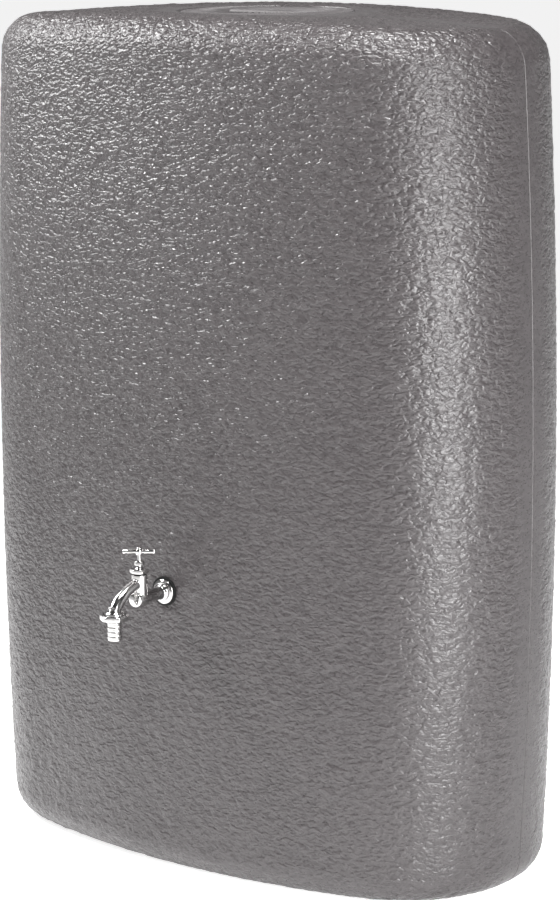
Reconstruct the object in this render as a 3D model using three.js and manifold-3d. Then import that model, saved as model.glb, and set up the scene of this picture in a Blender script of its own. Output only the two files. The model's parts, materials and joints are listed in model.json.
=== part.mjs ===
// Flat wall-side rain barrel: one hollow moulded tank, a push-in lid sunk flush into its deck,
// a screw-down bib tap with a hose union on the front and a hose inlet high on the left end.
// Millimetres, +Z up, front towards -Y, origin on the ground under the middle of the tank.

import * as THREE from 'three';
import { mergeVertices } from 'three/addons/utils/BufferGeometryUtils.js';
import Module from 'manifold-3d';

const wasm = await Module();
wasm.setup();

// Driving dimensions.

const gap = 0.3;                 // air between two pieces that rest on each other

const tank = {
  width: 800,
  depth: 410,
  height: 1070,
  wall: 5,
  cornerRadius: 175,             // plan radius of the two rounded ends
  topRadius: 43,                 // shoulder between the sides and the deck
  baseRadius: 38,
  crown: 16,                     // drop of the deck from its middle to its ends
  endLean: 20,                   // how far each end leans in at the top
  widestHeight: 508,
};

const well = { radius: 112, depth: 26, neckRadius: 90, collarWall: 6, collarHeight: 14 };
const deckRings = [0.75, 0.5, 0.28];     // scaled copies of the plan that carry the crown

const lid = {
  radius: 109,
  thickness: 3.5,
  skirtWall: 3,
  sunk: 1.5,                     // rim of the lid below the middle of the deck
  crown: 1.2,
  gasketHeight: 2.4,
  dishRadius: 56,
  dishDepth: 11,
  dishSlope: 6,                  // the dish wall leans out by this much on each side of its rim
  rimBevel: 2,
  skirtLift: 2,                  // skirt foot above the floor of the well
  gripWidth: 16,
};

const tap = {
  height: 364,                   // inlet axis above the ground
  offset: -7,                    // the tap stands a little left of the middle
  barrelReach: 49,               // wall face to the valve axis
  outletReach: 97,               // wall face to the outlet axis
  shankRadius: 10.4,             // half inch pipe thread
  shankInside: 26,
  shankBore: 5.5,
  shankBevel: 1,
  shoulderRadius: 11.6,
  shoulderHeight: 2,
  armRadius: 8,
  bellyRadius: 10.4,             // the arm swells where it crosses the barrel
  backnutFlats: 30,
  backnutHeight: 6,
};

const spout = {
  rootHeight: 20,                // above the inlet axis
  rootRadius: 6.6,
  endRadius: 8.2,
  endHeight: -5,
  bore: 4.2,
  steps: 12,
};

const washers = { wallOuter: 18.5, innerOuter: 17, thickness: 2.5 };

const rosette = { radius: 15.6, rim: 1.6, height: 3.6, hubRadius: 12.4 };

const valve = {
  barrelRadius: 9.8,
  barrelTop: 31,
  chamberRadius: 7.2,
  chamberFoot: -7.5,
  lowerRadius: 6.6,
  seatTop: 8,
  seatThickness: 2.5,
  seatRadius: 4,
  stemRadius: 2.25,
  headRadius: 4.2,               // threaded foot of the spindle
  headHeight: 8,
  travel: 5,
  sealHeight: 1,
  washerHeight: 2,
  washerRadius: 5.8,
  jumperRadius: 6,
  jumperHeight: 2,
  pinRadius: 1.7,                // upper pin of the jumper, turning in the spindle
  pinLength: 6,
  studRadius: 1.2,               // lower stud, which holds the soft washer
  nutFlats: 5.4,
  nutHeight: 2.4,
};

const cap = {
  flats: 21,                     // bonnet hexagon
  hexHeight: 5.6,
  top: 45.2,
  skirtFoot: 19.2,
  neckRadius: 3.7,
  neckRoot: 5.4,
  neckHeight: 4,
  glandFlats: 11.4,
  glandHeight: 5.6,
  glandCover: 2.6,               // how far the gland nut reaches down the neck
  packingHeight: 1.2,
};

const handle = {
  height: 59.4,
  length: 41,
  barRadius: 2.9,
  waistRadius: 2.6,
  knobRadius: 3.1,
  knobLength: 3.4,
  hubRadius: 4.5,
  hubBelow: 4.2,
  stemAbove: 2.2,
  screwRadius: 1.2,
  screwLength: 6,
  screwHead: 3.4,
  turn: 36,
};

const union = {
  threadRadius: 13.1,            // three quarter inch hose thread
  nutAcrossFlats: 32,
  nutTop: -10,
  collarFlare: 1.6,
  threadLength: 3,
  washerHeight: 1,
  flangeHeight: 1.2,
  lipHeight: 1.6,
  tailRadius: 8.6,
  tailBore: 6.5,
  tailLength: 24.6,
  ribs: 4,
  ribRise: 1.6,
};

const inlet = {
  height: 985,
  bossRadius: 27,
  bossThickness: 12,
  shankRadius: 13.1,             // three quarter inch thread
  bore: 9,
  shankInside: 12,               // past the inner face of the boss
  flangeRadius: 20,
  flangeHeight: 3.5,
  gasketHeight: 2,
  tailRadius: 11.6,
  tailLength: 27,
  ribs: 3,
  ribRise: 1.6,
  backnutFlats: 36,
  backnutHeight: 7,
};

// facets: the middle facet of each long face is centred, so the tap sits on a flat
const faceSteps = 9;
const endSteps = 12;
const shoulderSteps = 3;
const sideSteps = 6;
const roundSides = 16;
const wideSides = 32;

// Finishes.

const moulding = { color: 0x7d787a, roughness: 0.55, metalness: 0 };
const lidPlastic = { color: 0x77736f, roughness: 0.5, metalness: 0 };
const chrome = { color: 0xd6d6d8, roughness: 0.16, metalness: 1 };
const brass = { color: 0xb99a56, roughness: 0.35, metalness: 1 };
const rubber = { color: 0x161617, roughness: 0.8, metalness: 0 };
const blackPlastic = { color: 0x242526, roughness: 0.5, metalness: 0 };

// Solids.

function asSolid(geometry) {
  const bare = geometry.index ? geometry : geometry.clone();
  bare.deleteAttribute('normal');
  bare.deleteAttribute('uv');
  const welded = mergeVertices(bare, 1e-4);
  return new wasm.Manifold(new wasm.Mesh({
    numProp: 3,
    vertProperties: new Float32Array(welded.attributes.position.array),
    triVerts: new Uint32Array(welded.index.array),
  }));
}

function asGeometry(solid) {
  const mesh = solid.getMesh();
  const geometry = new THREE.BufferGeometry();
  geometry.setAttribute('position', new THREE.BufferAttribute(mesh.vertProperties, 3));
  geometry.setIndex(new THREE.BufferAttribute(mesh.triVerts, 1));
  geometry.computeVertexNormals();
  return geometry;
}

function join(first, ...others) {
  return others.reduce((body, other) => body.add(other), first);
}

function cut(first, ...others) {
  return others.reduce((body, other) => body.subtract(other), first);
}

// A profile of [radius, height] pairs spun about +Z.
function turned(profile, sides = roundSides) {
  const points = profile.map(([radius, height]) => new THREE.Vector2(radius, height));
  const geometry = new THREE.LatheGeometry(points, sides);
  geometry.rotateX(Math.PI / 2);
  return asSolid(geometry);
}

function disc(radius, from, to, sides = roundSides) {
  return turned([[0, from], [radius, from], [radius, to], [0, to]], sides);
}

function ring(inner, outer, from, to, sides = roundSides) {
  return turned([[inner, from], [outer, from], [outer, to], [inner, to], [inner, from]], sides);
}

function hexagon(acrossFlats, from, to) {
  return disc(acrossFlats / Math.sqrt(3), from, to, 6);
}

// The hexagon's corners are broken by a cone at both faces, as on a turned nut.
function nutBlank(acrossFlats, from, to) {
  const corner = acrossFlats / Math.sqrt(3);
  const chamfer = corner - acrossFlats / 2;
  const flat = acrossFlats / 2;
  const middle = chamfer * 0.6;
  const cone = turned([
    [0, from], [flat, from], [corner, from + middle],
    [corner, to - middle], [flat, to], [0, to],
  ]);
  return hexagon(acrossFlats, from, to).intersect(cone);
}

// Equal rings of points skinned one to the next, with both ends closed.
function skinned(rings) {
  const count = rings[0].length;
  const last = rings.length - 1;
  const positions = rings.flat().flatMap((point) => point.toArray());
  const faces = [];
  for (let level = 0; level < last; level += 1) {
    for (let i = 0; i < count; i += 1) {
      const next = (i + 1) % count;
      const low = level * count;
      const high = low + count;
      faces.push(low + i, low + next, high + next);
      faces.push(low + i, high + next, high + i);
    }
  }
  for (let i = 1; i < count - 1; i += 1) {
    faces.push(0, i + 1, i);
    faces.push(last * count, last * count + i, last * count + i + 1);
  }
  const geometry = new THREE.BufferGeometry();
  geometry.setAttribute('position', new THREE.Float32BufferAttribute(positions, 3));
  geometry.setIndex(faces);
  return asSolid(geometry);
}

// A round bar whose radius follows radiusAt along a curve in the YZ plane.
function sweptBar(curve, radiusAt, steps, sides = roundSides) {
  const rings = [];
  for (let step = 0; step <= steps; step += 1) {
    const along = step / steps;
    const centre = curve.getPoint(along);
    const forward = curve.getTangent(along);
    const sideways = new THREE.Vector3(1, 0, 0);
    const upward = new THREE.Vector3().crossVectors(forward, sideways);
    const points = [];
    for (let i = 0; i < sides; i += 1) {
      const angle = (2 * Math.PI * i) / sides;
      const offset = sideways.clone().multiplyScalar(Math.cos(angle));
      offset.addScaledVector(upward, Math.sin(angle));
      points.push(centre.clone().addScaledVector(offset, radiusAt(along)));
    }
    rings.push(points);
  }
  return skinned(rings);
}

// Saw-tooth barbs as [radius, distance from the root], each steep towards the root.
function barbs(radius, rise, length, count) {
  const pitch = length / count;
  const profile = [];
  for (let i = 0; i < count; i += 1) {
    profile.push([radius, i * pitch]);
    profile.push([radius + rise, (i + 0.25) * pitch]);
    profile.push([radius + rise, (i + 0.4) * pitch]);
  }
  profile.push([radius, length]);
  return profile;
}

function piece(name, solid, finish) {
  const mesh = new THREE.Mesh(asGeometry(solid), new THREE.MeshStandardMaterial(finish));
  mesh.name = name;
  return mesh;
}

// Tank.

// Plan: two long shallow arcs joined by two round ends, all tangent.
const endCentre = tank.width / 2 - tank.cornerRadius;
const faceAngle = 2 * Math.atan((tank.depth / 2 - tank.cornerRadius) / endCentre);
const faceRadius = endCentre / Math.sin(faceAngle) + tank.cornerRadius;
const faceCentre = faceRadius - tank.depth / 2;
const faceFlat = tank.depth / 2 - faceRadius * (1 - Math.cos(faceAngle / faceSteps));

function outline(drawIn) {
  const points = [];
  function arc(centreX, centreY, radius, from, to, steps) {
    for (let i = 0; i < steps; i += 1) {
      const angle = THREE.MathUtils.lerp(from, to, i / steps);
      const reach = radius - drawIn;
      points.push([centreX + reach * Math.cos(angle), centreY + reach * Math.sin(angle)]);
    }
  }
  const quarter = Math.PI / 2;
  arc(0, faceCentre, faceRadius, -quarter - faceAngle, -quarter + faceAngle, faceSteps);
  arc(endCentre, 0, tank.cornerRadius, -quarter + faceAngle, quarter - faceAngle, endSteps);
  arc(0, -faceCentre, faceRadius, quarter - faceAngle, quarter + faceAngle, faceSteps);
  arc(-endCentre, 0, tank.cornerRadius, quarter + faceAngle, 3 * quarter - faceAngle, endSteps);
  return points;
}

function leanAt(height) {
  const away = (height - tank.widestHeight) / (tank.height - tank.widestHeight);
  return 1 - (tank.endLean * away * away) / (tank.width / 2);
}

function tankForm(shrink) {
  const rings = [];
  const bottom = shrink;
  const top = tank.height - shrink;
  const baseRadius = tank.baseRadius - shrink;
  const topRadius = tank.topRadius - shrink;
  function addRing(height, drawIn, scale = 1) {
    const lean = leanAt(height) * scale;
    rings.push(outline(drawIn).map(([x, y]) => {
      const across = (x * lean) / (tank.width / 2);
      const drop = tank.crown * across * across * (height / tank.height);
      const floorKept = height > bottom + baseRadius ? drop : 0;
      return new THREE.Vector3(x * lean, y * scale, height - floorKept);
    }));
  }
  for (let i = 0; i <= shoulderSteps; i += 1) {
    const angle = (Math.PI / 2) * (i / shoulderSteps);
    addRing(bottom + baseRadius * (1 - Math.cos(angle)), shrink + baseRadius * (1 - Math.sin(angle)));
  }
  for (let i = 1; i < sideSteps; i += 1) {
    addRing(THREE.MathUtils.lerp(bottom + baseRadius, top - topRadius, i / sideSteps), shrink);
  }
  for (let i = 0; i <= shoulderSteps; i += 1) {
    const angle = (Math.PI / 2) * (i / shoulderSteps);
    addRing(top - topRadius * (1 - Math.sin(angle)), shrink + topRadius * (1 - Math.cos(angle)));
  }
  for (const scale of deckRings) {
    addRing(top, shrink + topRadius, scale);
  }
  return skinned(rings);
}

const wellFloor = tank.height - well.depth;
const collarTop = wellFloor + well.collarHeight;
const bossFace = (tank.width / 2) * leanAt(inlet.height - inlet.bossRadius) + 1;

function tankShell() {
  const above = tank.height + tank.wall;
  const wellCut = disc(well.radius, wellFloor, above, wideSides);
  const wellSkin = disc(well.radius + tank.wall, wellFloor - tank.wall, above, wideSides);
  const neck = disc(well.neckRadius, wellFloor - 2 * tank.wall, above, wideSides);
  const collar = ring(
    well.neckRadius, well.neckRadius + well.collarWall, wellFloor - 1, collarTop, wideSides,
  );
  const cavity = cut(tankForm(tank.wall), wellSkin);
  const tapHole = disc(tap.shankRadius + 2 * gap, -2 * tank.wall, 2 * tank.wall)
    .rotate([90, 0, 0])
    .translate([tap.offset, -faceFlat, tap.height]);
  const boss = disc(inlet.bossRadius, -inlet.bossThickness, 0, wideSides)
    .rotate([0, -90, 0])
    .translate([-bossFace, 0, inlet.height]);
  const inletHole = disc(inlet.shankRadius + 2 * gap, -2 * inlet.bossThickness, tank.wall)
    .rotate([0, -90, 0])
    .translate([-bossFace, 0, inlet.height]);
  const hollow = cut(tankForm(0), wellCut, cavity, neck);
  return cut(join(hollow, collar, boss), tapHole, inletHole);
}

// Lid.

const lidRim = tank.height - lid.sunk;
const gasketFoot = collarTop + gap;
const gasketHead = gasketFoot + lid.gasketHeight;

function lidCap() {
  const dishFloor = lidRim - lid.dishDepth;
  const skirtFoot = wellFloor + lid.skirtLift;
  const seat = gasketHead + gap;
  const inner = lid.radius - lid.skirtWall;
  const shell = turned([
    [0, dishFloor - lid.thickness],
    [lid.dishRadius - lid.dishSlope / 2, dishFloor - lid.thickness],
    [lid.dishRadius + lid.thickness, seat],
    [inner, seat],
    [inner, skirtFoot],
    [lid.radius, skirtFoot],
    [lid.radius, lidRim - lid.rimBevel],
    [lid.radius - lid.rimBevel, lidRim],
    [lid.dishRadius + lid.dishSlope, lidRim + lid.crown],
    [lid.dishRadius, lidRim + lid.crown],
    [lid.dishRadius - lid.dishSlope, dishFloor],
    [0, dishFloor],
  ], wideSides);
  const gripHeight = lid.dishDepth + 1;
  const grip = new THREE.BoxGeometry(2 * lid.dishRadius - 2, lid.gripWidth, gripHeight);
  grip.translate(0, 0, dishFloor - 1 + gripHeight / 2);
  return join(shell, asSolid(grip));
}

function lidGasket() {
  return ring(well.neckRadius, well.neckRadius + well.collarWall, gasketFoot, gasketHead, wideSides);
}

// Tap body.

const rosetteFoot = washers.thickness + 2 * gap;
const shoulderFoot = rosetteFoot + rosette.height + gap;
const shoulderTop = shoulderFoot + tap.shoulderHeight;
const threadEnd = union.nutTop - union.threadLength;

// The spout leaves the barrel level and bends down to the outlet.
function spoutCurve() {
  const run = tap.outletReach - tap.barrelReach;
  return new THREE.CubicBezierCurve3(
    new THREE.Vector3(0, -tap.barrelReach, spout.rootHeight),
    new THREE.Vector3(0, -tap.barrelReach - 0.27 * run, spout.rootHeight + 0.5),
    new THREE.Vector3(0, -tap.outletReach + 0.22 * run, spout.rootHeight / 2),
    new THREE.Vector3(0, -tap.outletReach, spout.endHeight),
  );
}

function tapBody() {
  const belly = tap.barrelReach;
  const arm = turned([
    [0, -tap.shankInside],
    [tap.shankRadius - tap.shankBevel, -tap.shankInside],
    [tap.shankRadius, -tap.shankInside + tap.shankBevel],
    [tap.shankRadius, shoulderFoot],
    [tap.shoulderRadius, shoulderFoot],
    [tap.shoulderRadius, shoulderTop],
    [tap.armRadius, shoulderTop + 1.5],
    [tap.armRadius, belly - 22],
    [tap.bellyRadius, belly - 6],
    [tap.bellyRadius, belly + 6],
    [0.9 * tap.bellyRadius, belly + 9.6],
    [0.63 * tap.bellyRadius, belly + 12],
    [0, belly + 12.8],
  ]).rotate([90, 0, 0]);
  const barrel = turned([
    [0, 0],
    [valve.barrelRadius, 0],
    [valve.barrelRadius, valve.barrelTop - 1],
    [valve.barrelRadius - 1, valve.barrelTop],
    [0, valve.barrelTop],
  ]).translate([0, -tap.barrelReach, 0]);
  const tube = sweptBar(
    spoutCurve(),
    (along) => THREE.MathUtils.lerp(spout.rootRadius, spout.endRadius, along),
    spout.steps,
  );
  const collarRadius = union.threadRadius - 1;
  const outlet = turned([
    [0, threadEnd],
    [union.threadRadius, threadEnd],
    [union.threadRadius, union.nutTop],
    [collarRadius, union.nutTop],
    [collarRadius, union.nutTop + union.collarFlare],
    [spout.endRadius + 0.8, union.nutTop + 2.4 * union.collarFlare],
    [spout.endRadius, spout.endHeight + 1],
    [0, spout.endHeight + 1],
  ]).translate([0, -tap.outletReach, 0]);
  const seatFoot = valve.seatTop - valve.seatThickness;
  const lowerChamber = disc(valve.lowerRadius, valve.chamberFoot, seatFoot);
  const upperChamber = disc(valve.chamberRadius, valve.seatTop, valve.barrelTop + 1);
  const seat = disc(valve.seatRadius, 0, valve.seatTop + 1);
  const chambers = join(lowerChamber, upperChamber, seat).translate([0, -tap.barrelReach, 0]);
  const inletBore = disc(tap.shankBore, -tap.shankInside - 1, tap.barrelReach).rotate([90, 0, 0]);
  const spoutBore = sweptBar(spoutCurve(), () => spout.bore, spout.steps);
  const outletBore = disc(spout.bore + 0.4, threadEnd - 1, spout.endHeight + 1)
    .translate([0, -tap.outletReach, 0]);
  return cut(join(arm, barrel, tube, outlet), chambers, inletBore, spoutBore, outletBore);
}

function wallGasket() {
  return ring(tap.shankRadius + gap, washers.wallOuter, gap, gap + washers.thickness);
}

function wallRosette() {
  const foot = rosetteFoot;
  const bore = tap.shankRadius + gap;
  return turned([
    [bore, foot],
    [rosette.radius, foot],
    [rosette.radius, foot + rosette.rim],
    [rosette.radius - 0.8, foot + rosette.rim + 0.8],
    [rosette.hubRadius + 0.4, foot + rosette.height],
    [bore, foot + rosette.height],
    [bore, foot],
  ]);
}

function innerWasher() {
  const face = -tank.wall - gap;
  return ring(tap.shankRadius + gap, washers.innerOuter, face - washers.thickness, face);
}

function tapBacknut() {
  const face = -tank.wall - 2 * gap - washers.thickness;
  const foot = face - tap.backnutHeight;
  return cut(nutBlank(tap.backnutFlats, foot, face), disc(tap.shankRadius + gap, foot - 1, face + 1));
}

// Valve and handle.

const bonnetSeat = valve.barrelTop + 2 * gap + valve.sealHeight;
const bonnetHexTop = bonnetSeat + cap.hexHeight;
const jumperFoot = valve.seatTop + valve.washerHeight + 2 * gap;
const spindleFoot = jumperFoot + valve.jumperHeight + gap;
const spindleHeadTop = spindleFoot + valve.headHeight;
const pinTop = spindleFoot + valve.pinLength;
const glandFoot = cap.top - cap.glandCover;
const glandTop = glandFoot + cap.glandHeight;
const packingFoot = cap.top + gap;
const packingTop = packingFoot + cap.packingHeight;
const spindleTop = handle.height + handle.stemAbove;

function bonnet() {
  const spigot = valve.chamberRadius - gap;
  const pocketTop = spindleHeadTop + valve.travel + 2 * gap;
  const outer = turned([
    [0, cap.skirtFoot],
    [spigot, cap.skirtFoot],
    [spigot, bonnetSeat + 1],
    [cap.neckRoot, bonnetHexTop - 1],
    [cap.neckRoot, bonnetHexTop + 1],
    [cap.neckRadius, cap.top - cap.neckHeight],
    [cap.neckRadius, cap.top],
    [0, cap.top],
  ]);
  return cut(
    join(outer, nutBlank(cap.flats, bonnetSeat, bonnetHexTop)),
    disc(valve.headRadius + gap, cap.skirtFoot - 1, pocketTop),
    disc(valve.stemRadius + gap, cap.skirtFoot, cap.top + 1),
  );
}

function bonnetSeal() {
  const foot = valve.barrelTop + gap;
  return ring(valve.chamberRadius + gap, valve.barrelRadius - gap, foot, foot + valve.sealHeight);
}

function glandNut() {
  const blank = nutBlank(cap.glandFlats, glandFoot, glandTop);
  const socket = disc(cap.neckRadius + gap, glandFoot - 1, packingTop + gap);
  const hole = disc(valve.stemRadius + gap, glandFoot, glandTop + 1);
  return cut(blank, socket, hole);
}

function glandPacking() {
  return ring(valve.stemRadius + gap, cap.neckRadius, packingFoot, packingTop);
}

function valveJumper() {
  const studFoot = valve.seatTop - valve.nutHeight - 1.6;
  return turned([
    [0, studFoot],
    [valve.studRadius, studFoot],
    [valve.studRadius, jumperFoot],
    [valve.jumperRadius, jumperFoot],
    [valve.jumperRadius, jumperFoot + valve.jumperHeight],
    [valve.pinRadius, jumperFoot + valve.jumperHeight],
    [valve.pinRadius, pinTop],
    [0, pinTop],
  ]);
}

function valveWasher() {
  return ring(valve.studRadius + gap, valve.washerRadius, valve.seatTop + gap, jumperFoot - gap);
}

function jumperNut() {
  const top = valve.seatTop;
  const blank = hexagon(valve.nutFlats, top - valve.nutHeight, top);
  return cut(blank, disc(valve.studRadius + gap, top - valve.nutHeight - 1, top + 1, 12));
}

function spindle() {
  const socket = disc(valve.pinRadius + gap, spindleFoot - 1, pinTop + 2 * gap);
  const screwHole = disc(handle.screwRadius + gap, spindleTop - handle.screwLength - 1, spindleTop + 1, 12);
  const bar = turned([
    [0, spindleFoot],
    [valve.headRadius, spindleFoot],
    [valve.headRadius, spindleHeadTop],
    [valve.stemRadius, spindleHeadTop],
    [valve.stemRadius, spindleTop],
    [0, spindleTop],
  ]);
  return cut(bar, socket, screwHole);
}

function tHandle() {
  const half = handle.length / 2;
  const neck = half - handle.knobLength;
  const hubFoot = handle.height - handle.hubBelow;
  const hubTop = spindleTop + gap + 1;
  const hubEdge = handle.hubRadius - 0.8;
  const bar = turned([
    [0, -half],
    [0.6 * handle.knobRadius, -half + 0.4],
    [handle.knobRadius, -half + 1.8],
    [handle.knobRadius, -neck],
    [handle.waistRadius, -neck + 2.6],
    [handle.barRadius, 0],
    [handle.waistRadius, neck - 2.6],
    [handle.knobRadius, neck],
    [handle.knobRadius, half - 1.8],
    [0.6 * handle.knobRadius, half - 0.4],
    [0, half],
  ]).rotate([0, 90, 0]).translate([0, 0, handle.height]);
  const hub = turned([
    [0, hubFoot],
    [hubEdge, hubFoot],
    [handle.hubRadius, hubFoot + 1],
    [handle.hubRadius, hubTop - 1],
    [hubEdge, hubTop],
    [0, hubTop],
  ]);
  return cut(
    join(bar, hub),
    disc(valve.stemRadius + gap, hubFoot - 1, spindleTop + gap),
    disc(handle.screwRadius + gap, hubFoot, hubTop + 1, 12),
  );
}

function handleScrew() {
  const foot = spindleTop - handle.screwLength;
  const seat = spindleTop + 1 + 2 * gap;
  return turned([
    [0, foot],
    [handle.screwRadius, foot],
    [handle.screwRadius, seat],
    [handle.screwHead, seat],
    [handle.screwHead - 0.2, seat + 1.1],
    [handle.screwHead - 1.2, seat + 1.9],
    [0, seat + 2.2],
  ], 12);
}

// Hose union.

const unionWasherTop = threadEnd - gap;
const flangeTop = unionWasherTop - union.washerHeight - gap;
const lipTop = flangeTop - union.flangeHeight - gap;
const nutFoot = lipTop - union.lipHeight;

function unionNut() {
  const blank = nutBlank(union.nutAcrossFlats, nutFoot, union.nutTop);
  return cut(
    blank,
    disc(union.threadRadius + gap, lipTop, union.nutTop + 1, wideSides),
    disc(union.tailRadius + union.ribRise + 0.6, nutFoot - 1, lipTop + 1),
  );
}

function unionWasher() {
  const foot = unionWasherTop - union.washerHeight;
  return ring(union.tailBore, union.threadRadius - 0.4, foot, unionWasherTop);
}

function hoseTail() {
  const flangeFoot = flangeTop - union.flangeHeight;
  const tip = nutFoot - union.tailLength;
  const ribs = barbs(union.tailRadius, union.ribRise, union.tailLength - 1, union.ribs);
  const outer = turned([
    [0, flangeTop],
    [union.threadRadius - 0.3, flangeTop],
    [union.threadRadius - 0.3, flangeFoot],
    [union.tailRadius, flangeFoot],
    ...ribs.map(([radius, along]) => [radius, nutFoot - 1 - along]),
    [0, tip],
  ].reverse());
  return cut(outer, disc(union.tailBore, tip - 1, flangeTop + 1));
}

// Hose inlet.

const flangeSeat = 2 * gap + inlet.gasketHeight;
const spigotRoot = flangeSeat + inlet.flangeHeight;

function inletSpigot() {
  const inside = -inlet.bossThickness - inlet.shankInside;
  const tip = spigotRoot + inlet.tailLength;
  const ribs = barbs(inlet.tailRadius, inlet.ribRise, inlet.tailLength - 1, inlet.ribs);
  const outer = turned([
    [0, inside],
    [inlet.shankRadius, inside],
    [inlet.shankRadius, flangeSeat],
    [inlet.flangeRadius, flangeSeat],
    [inlet.flangeRadius, spigotRoot],
    ...ribs.map(([radius, along]) => [radius, spigotRoot + 1 + along]),
    [0, tip],
  ]);
  return cut(outer, disc(inlet.bore, inside - 1, tip + 1));
}

function inletGasket() {
  return ring(inlet.shankRadius + gap, inlet.flangeRadius + 1, gap, gap + inlet.gasketHeight);
}

function inletBacknut() {
  const face = -inlet.bossThickness - gap;
  const foot = face - inlet.backnutHeight;
  return cut(nutBlank(inlet.backnutFlats, foot, face), disc(inlet.shankRadius + gap, foot - 1, face + 1));
}

// Assembly.

function tapGroup() {
  const group = new THREE.Group();
  group.position.set(tap.offset, -faceFlat, tap.height);
  group.add(piece('tap_body', tapBody(), chrome));

  const shank = new THREE.Group();
  shank.rotation.x = Math.PI / 2;
  shank.add(piece('wall_gasket', wallGasket(), rubber));
  shank.add(piece('wall_rosette', wallRosette(), chrome));
  shank.add(piece('inner_washer', innerWasher(), rubber));
  shank.add(piece('tap_backnut', tapBacknut(), brass));
  group.add(shank);

  const barrel = new THREE.Group();
  barrel.position.y = -tap.barrelReach;
  barrel.add(piece('bonnet', bonnet(), chrome));
  barrel.add(piece('bonnet_seal', bonnetSeal(), rubber));
  barrel.add(piece('gland_nut', glandNut(), chrome));
  barrel.add(piece('gland_packing', glandPacking(), rubber));
  barrel.add(piece('valve_jumper', valveJumper(), brass));
  barrel.add(piece('valve_washer', valveWasher(), rubber));
  barrel.add(piece('jumper_nut', jumperNut(), brass));
  barrel.add(piece('spindle', spindle(), chrome));
  barrel.add(piece('handle_screw', handleScrew(), chrome));
  const bar = piece('t_handle', tHandle(), chrome);
  bar.rotation.z = THREE.MathUtils.degToRad(handle.turn);
  barrel.add(bar);
  group.add(barrel);

  const outlet = new THREE.Group();
  outlet.position.y = -tap.outletReach;
  outlet.add(piece('union_nut', unionNut(), chrome));
  outlet.add(piece('union_washer', unionWasher(), rubber));
  outlet.add(piece('hose_tail', hoseTail(), chrome));
  group.add(outlet);
  return group;
}

function inletGroup() {
  const group = new THREE.Group();
  group.position.set(-bossFace, 0, inlet.height);
  group.rotation.y = -Math.PI / 2;
  group.add(piece('inlet_spigot', inletSpigot(), blackPlastic));
  group.add(piece('inlet_gasket', inletGasket(), rubber));
  group.add(piece('inlet_backnut', inletBacknut(), blackPlastic));
  return group;
}

const barrel = new THREE.Group();
barrel.add(piece('tank_shell', tankShell(), moulding));
barrel.add(piece('lid_cap', lidCap(), lidPlastic));
barrel.add(piece('lid_gasket', lidGasket(), rubber));
barrel.add(tapGroup());
barrel.add(inletGroup());

export default barrel;
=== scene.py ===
import json
import math

import bmesh
import bpy
import numpy as np
from mathutils import Matrix, Vector

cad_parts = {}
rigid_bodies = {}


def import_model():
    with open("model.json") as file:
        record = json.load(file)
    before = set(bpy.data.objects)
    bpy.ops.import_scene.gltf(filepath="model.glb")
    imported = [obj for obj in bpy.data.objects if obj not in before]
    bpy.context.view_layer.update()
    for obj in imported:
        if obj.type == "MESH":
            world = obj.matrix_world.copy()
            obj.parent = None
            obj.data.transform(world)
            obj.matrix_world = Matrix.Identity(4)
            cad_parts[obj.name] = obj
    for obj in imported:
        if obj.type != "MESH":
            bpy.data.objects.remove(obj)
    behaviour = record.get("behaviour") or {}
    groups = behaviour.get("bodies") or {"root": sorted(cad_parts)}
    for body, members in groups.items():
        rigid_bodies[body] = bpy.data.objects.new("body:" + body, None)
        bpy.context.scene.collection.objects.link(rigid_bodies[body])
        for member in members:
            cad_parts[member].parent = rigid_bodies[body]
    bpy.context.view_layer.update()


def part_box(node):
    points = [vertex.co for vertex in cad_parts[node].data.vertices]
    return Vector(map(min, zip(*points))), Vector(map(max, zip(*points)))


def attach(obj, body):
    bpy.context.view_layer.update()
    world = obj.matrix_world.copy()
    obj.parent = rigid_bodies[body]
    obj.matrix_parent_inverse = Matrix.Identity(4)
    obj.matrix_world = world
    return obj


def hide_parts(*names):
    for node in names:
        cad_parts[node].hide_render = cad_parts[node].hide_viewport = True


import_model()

mm = 0.001
gap = 0.3 * mm              # air between neighbouring pieces
weldDistance = 1e-7         # points closer than this become one
sceneItems = bpy.context.scene.collection.objects


def meshObject(name, vertices, faces):
    mesh = bpy.data.meshes.new(name)
    mesh.from_pydata([tuple(v) for v in vertices], [], faces)
    mesh.validate()
    item = bpy.data.objects.new(name, mesh)
    sceneItems.link(item)
    mesh.shade_smooth()
    return item


def smoothStep(low, high, value):
    t = np.clip((value - low) / (high - low), 0, 1)
    return t * t * (3 - 2 * t)


def settle(item):
    # the evaluated result becomes the piece's plain mesh, and its modifiers go
    graph = bpy.context.evaluated_depsgraph_get()
    graph.update()
    done = bpy.data.meshes.new_from_object(item.evaluated_get(graph))
    item.modifiers.clear()
    old = item.data
    item.data = done
    bpy.data.meshes.remove(old)
    done.name = item.name
    return item


def pointOutwards(item):
    work = bmesh.new()
    work.from_mesh(item.data)
    bmesh.ops.remove_doubles(work, verts=work.verts, dist=weldDistance)
    bmesh.ops.recalc_face_normals(work, faces=work.faces)
    work.to_mesh(item.data)
    work.free()
    return item


def softEdges(item, degrees=32):
    item.data.shade_smooth()
    item.data.set_sharp_from_angle(angle=math.radians(degrees))
    return item


def bevelEdges(item, width, segments=2, degrees=32):
    modifier = item.modifiers.new("bevel", "BEVEL")
    modifier.width = width
    modifier.segments = segments
    modifier.limit_method = "ANGLE"
    modifier.angle_limit = math.radians(degrees)
    modifier.harden_normals = False
    return settle(item)


def combine(item, other, operation):
    # exact join or cut; the second solid is used up
    modifier = item.modifiers.new("combine", "BOOLEAN")
    modifier.solver = "MANIFOLD"
    modifier.operation = operation
    modifier.object = other
    settle(item)
    bpy.data.objects.remove(other)
    return item


cornerShare = 0.45          # a soft corner takes up at most this share of each side


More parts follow.
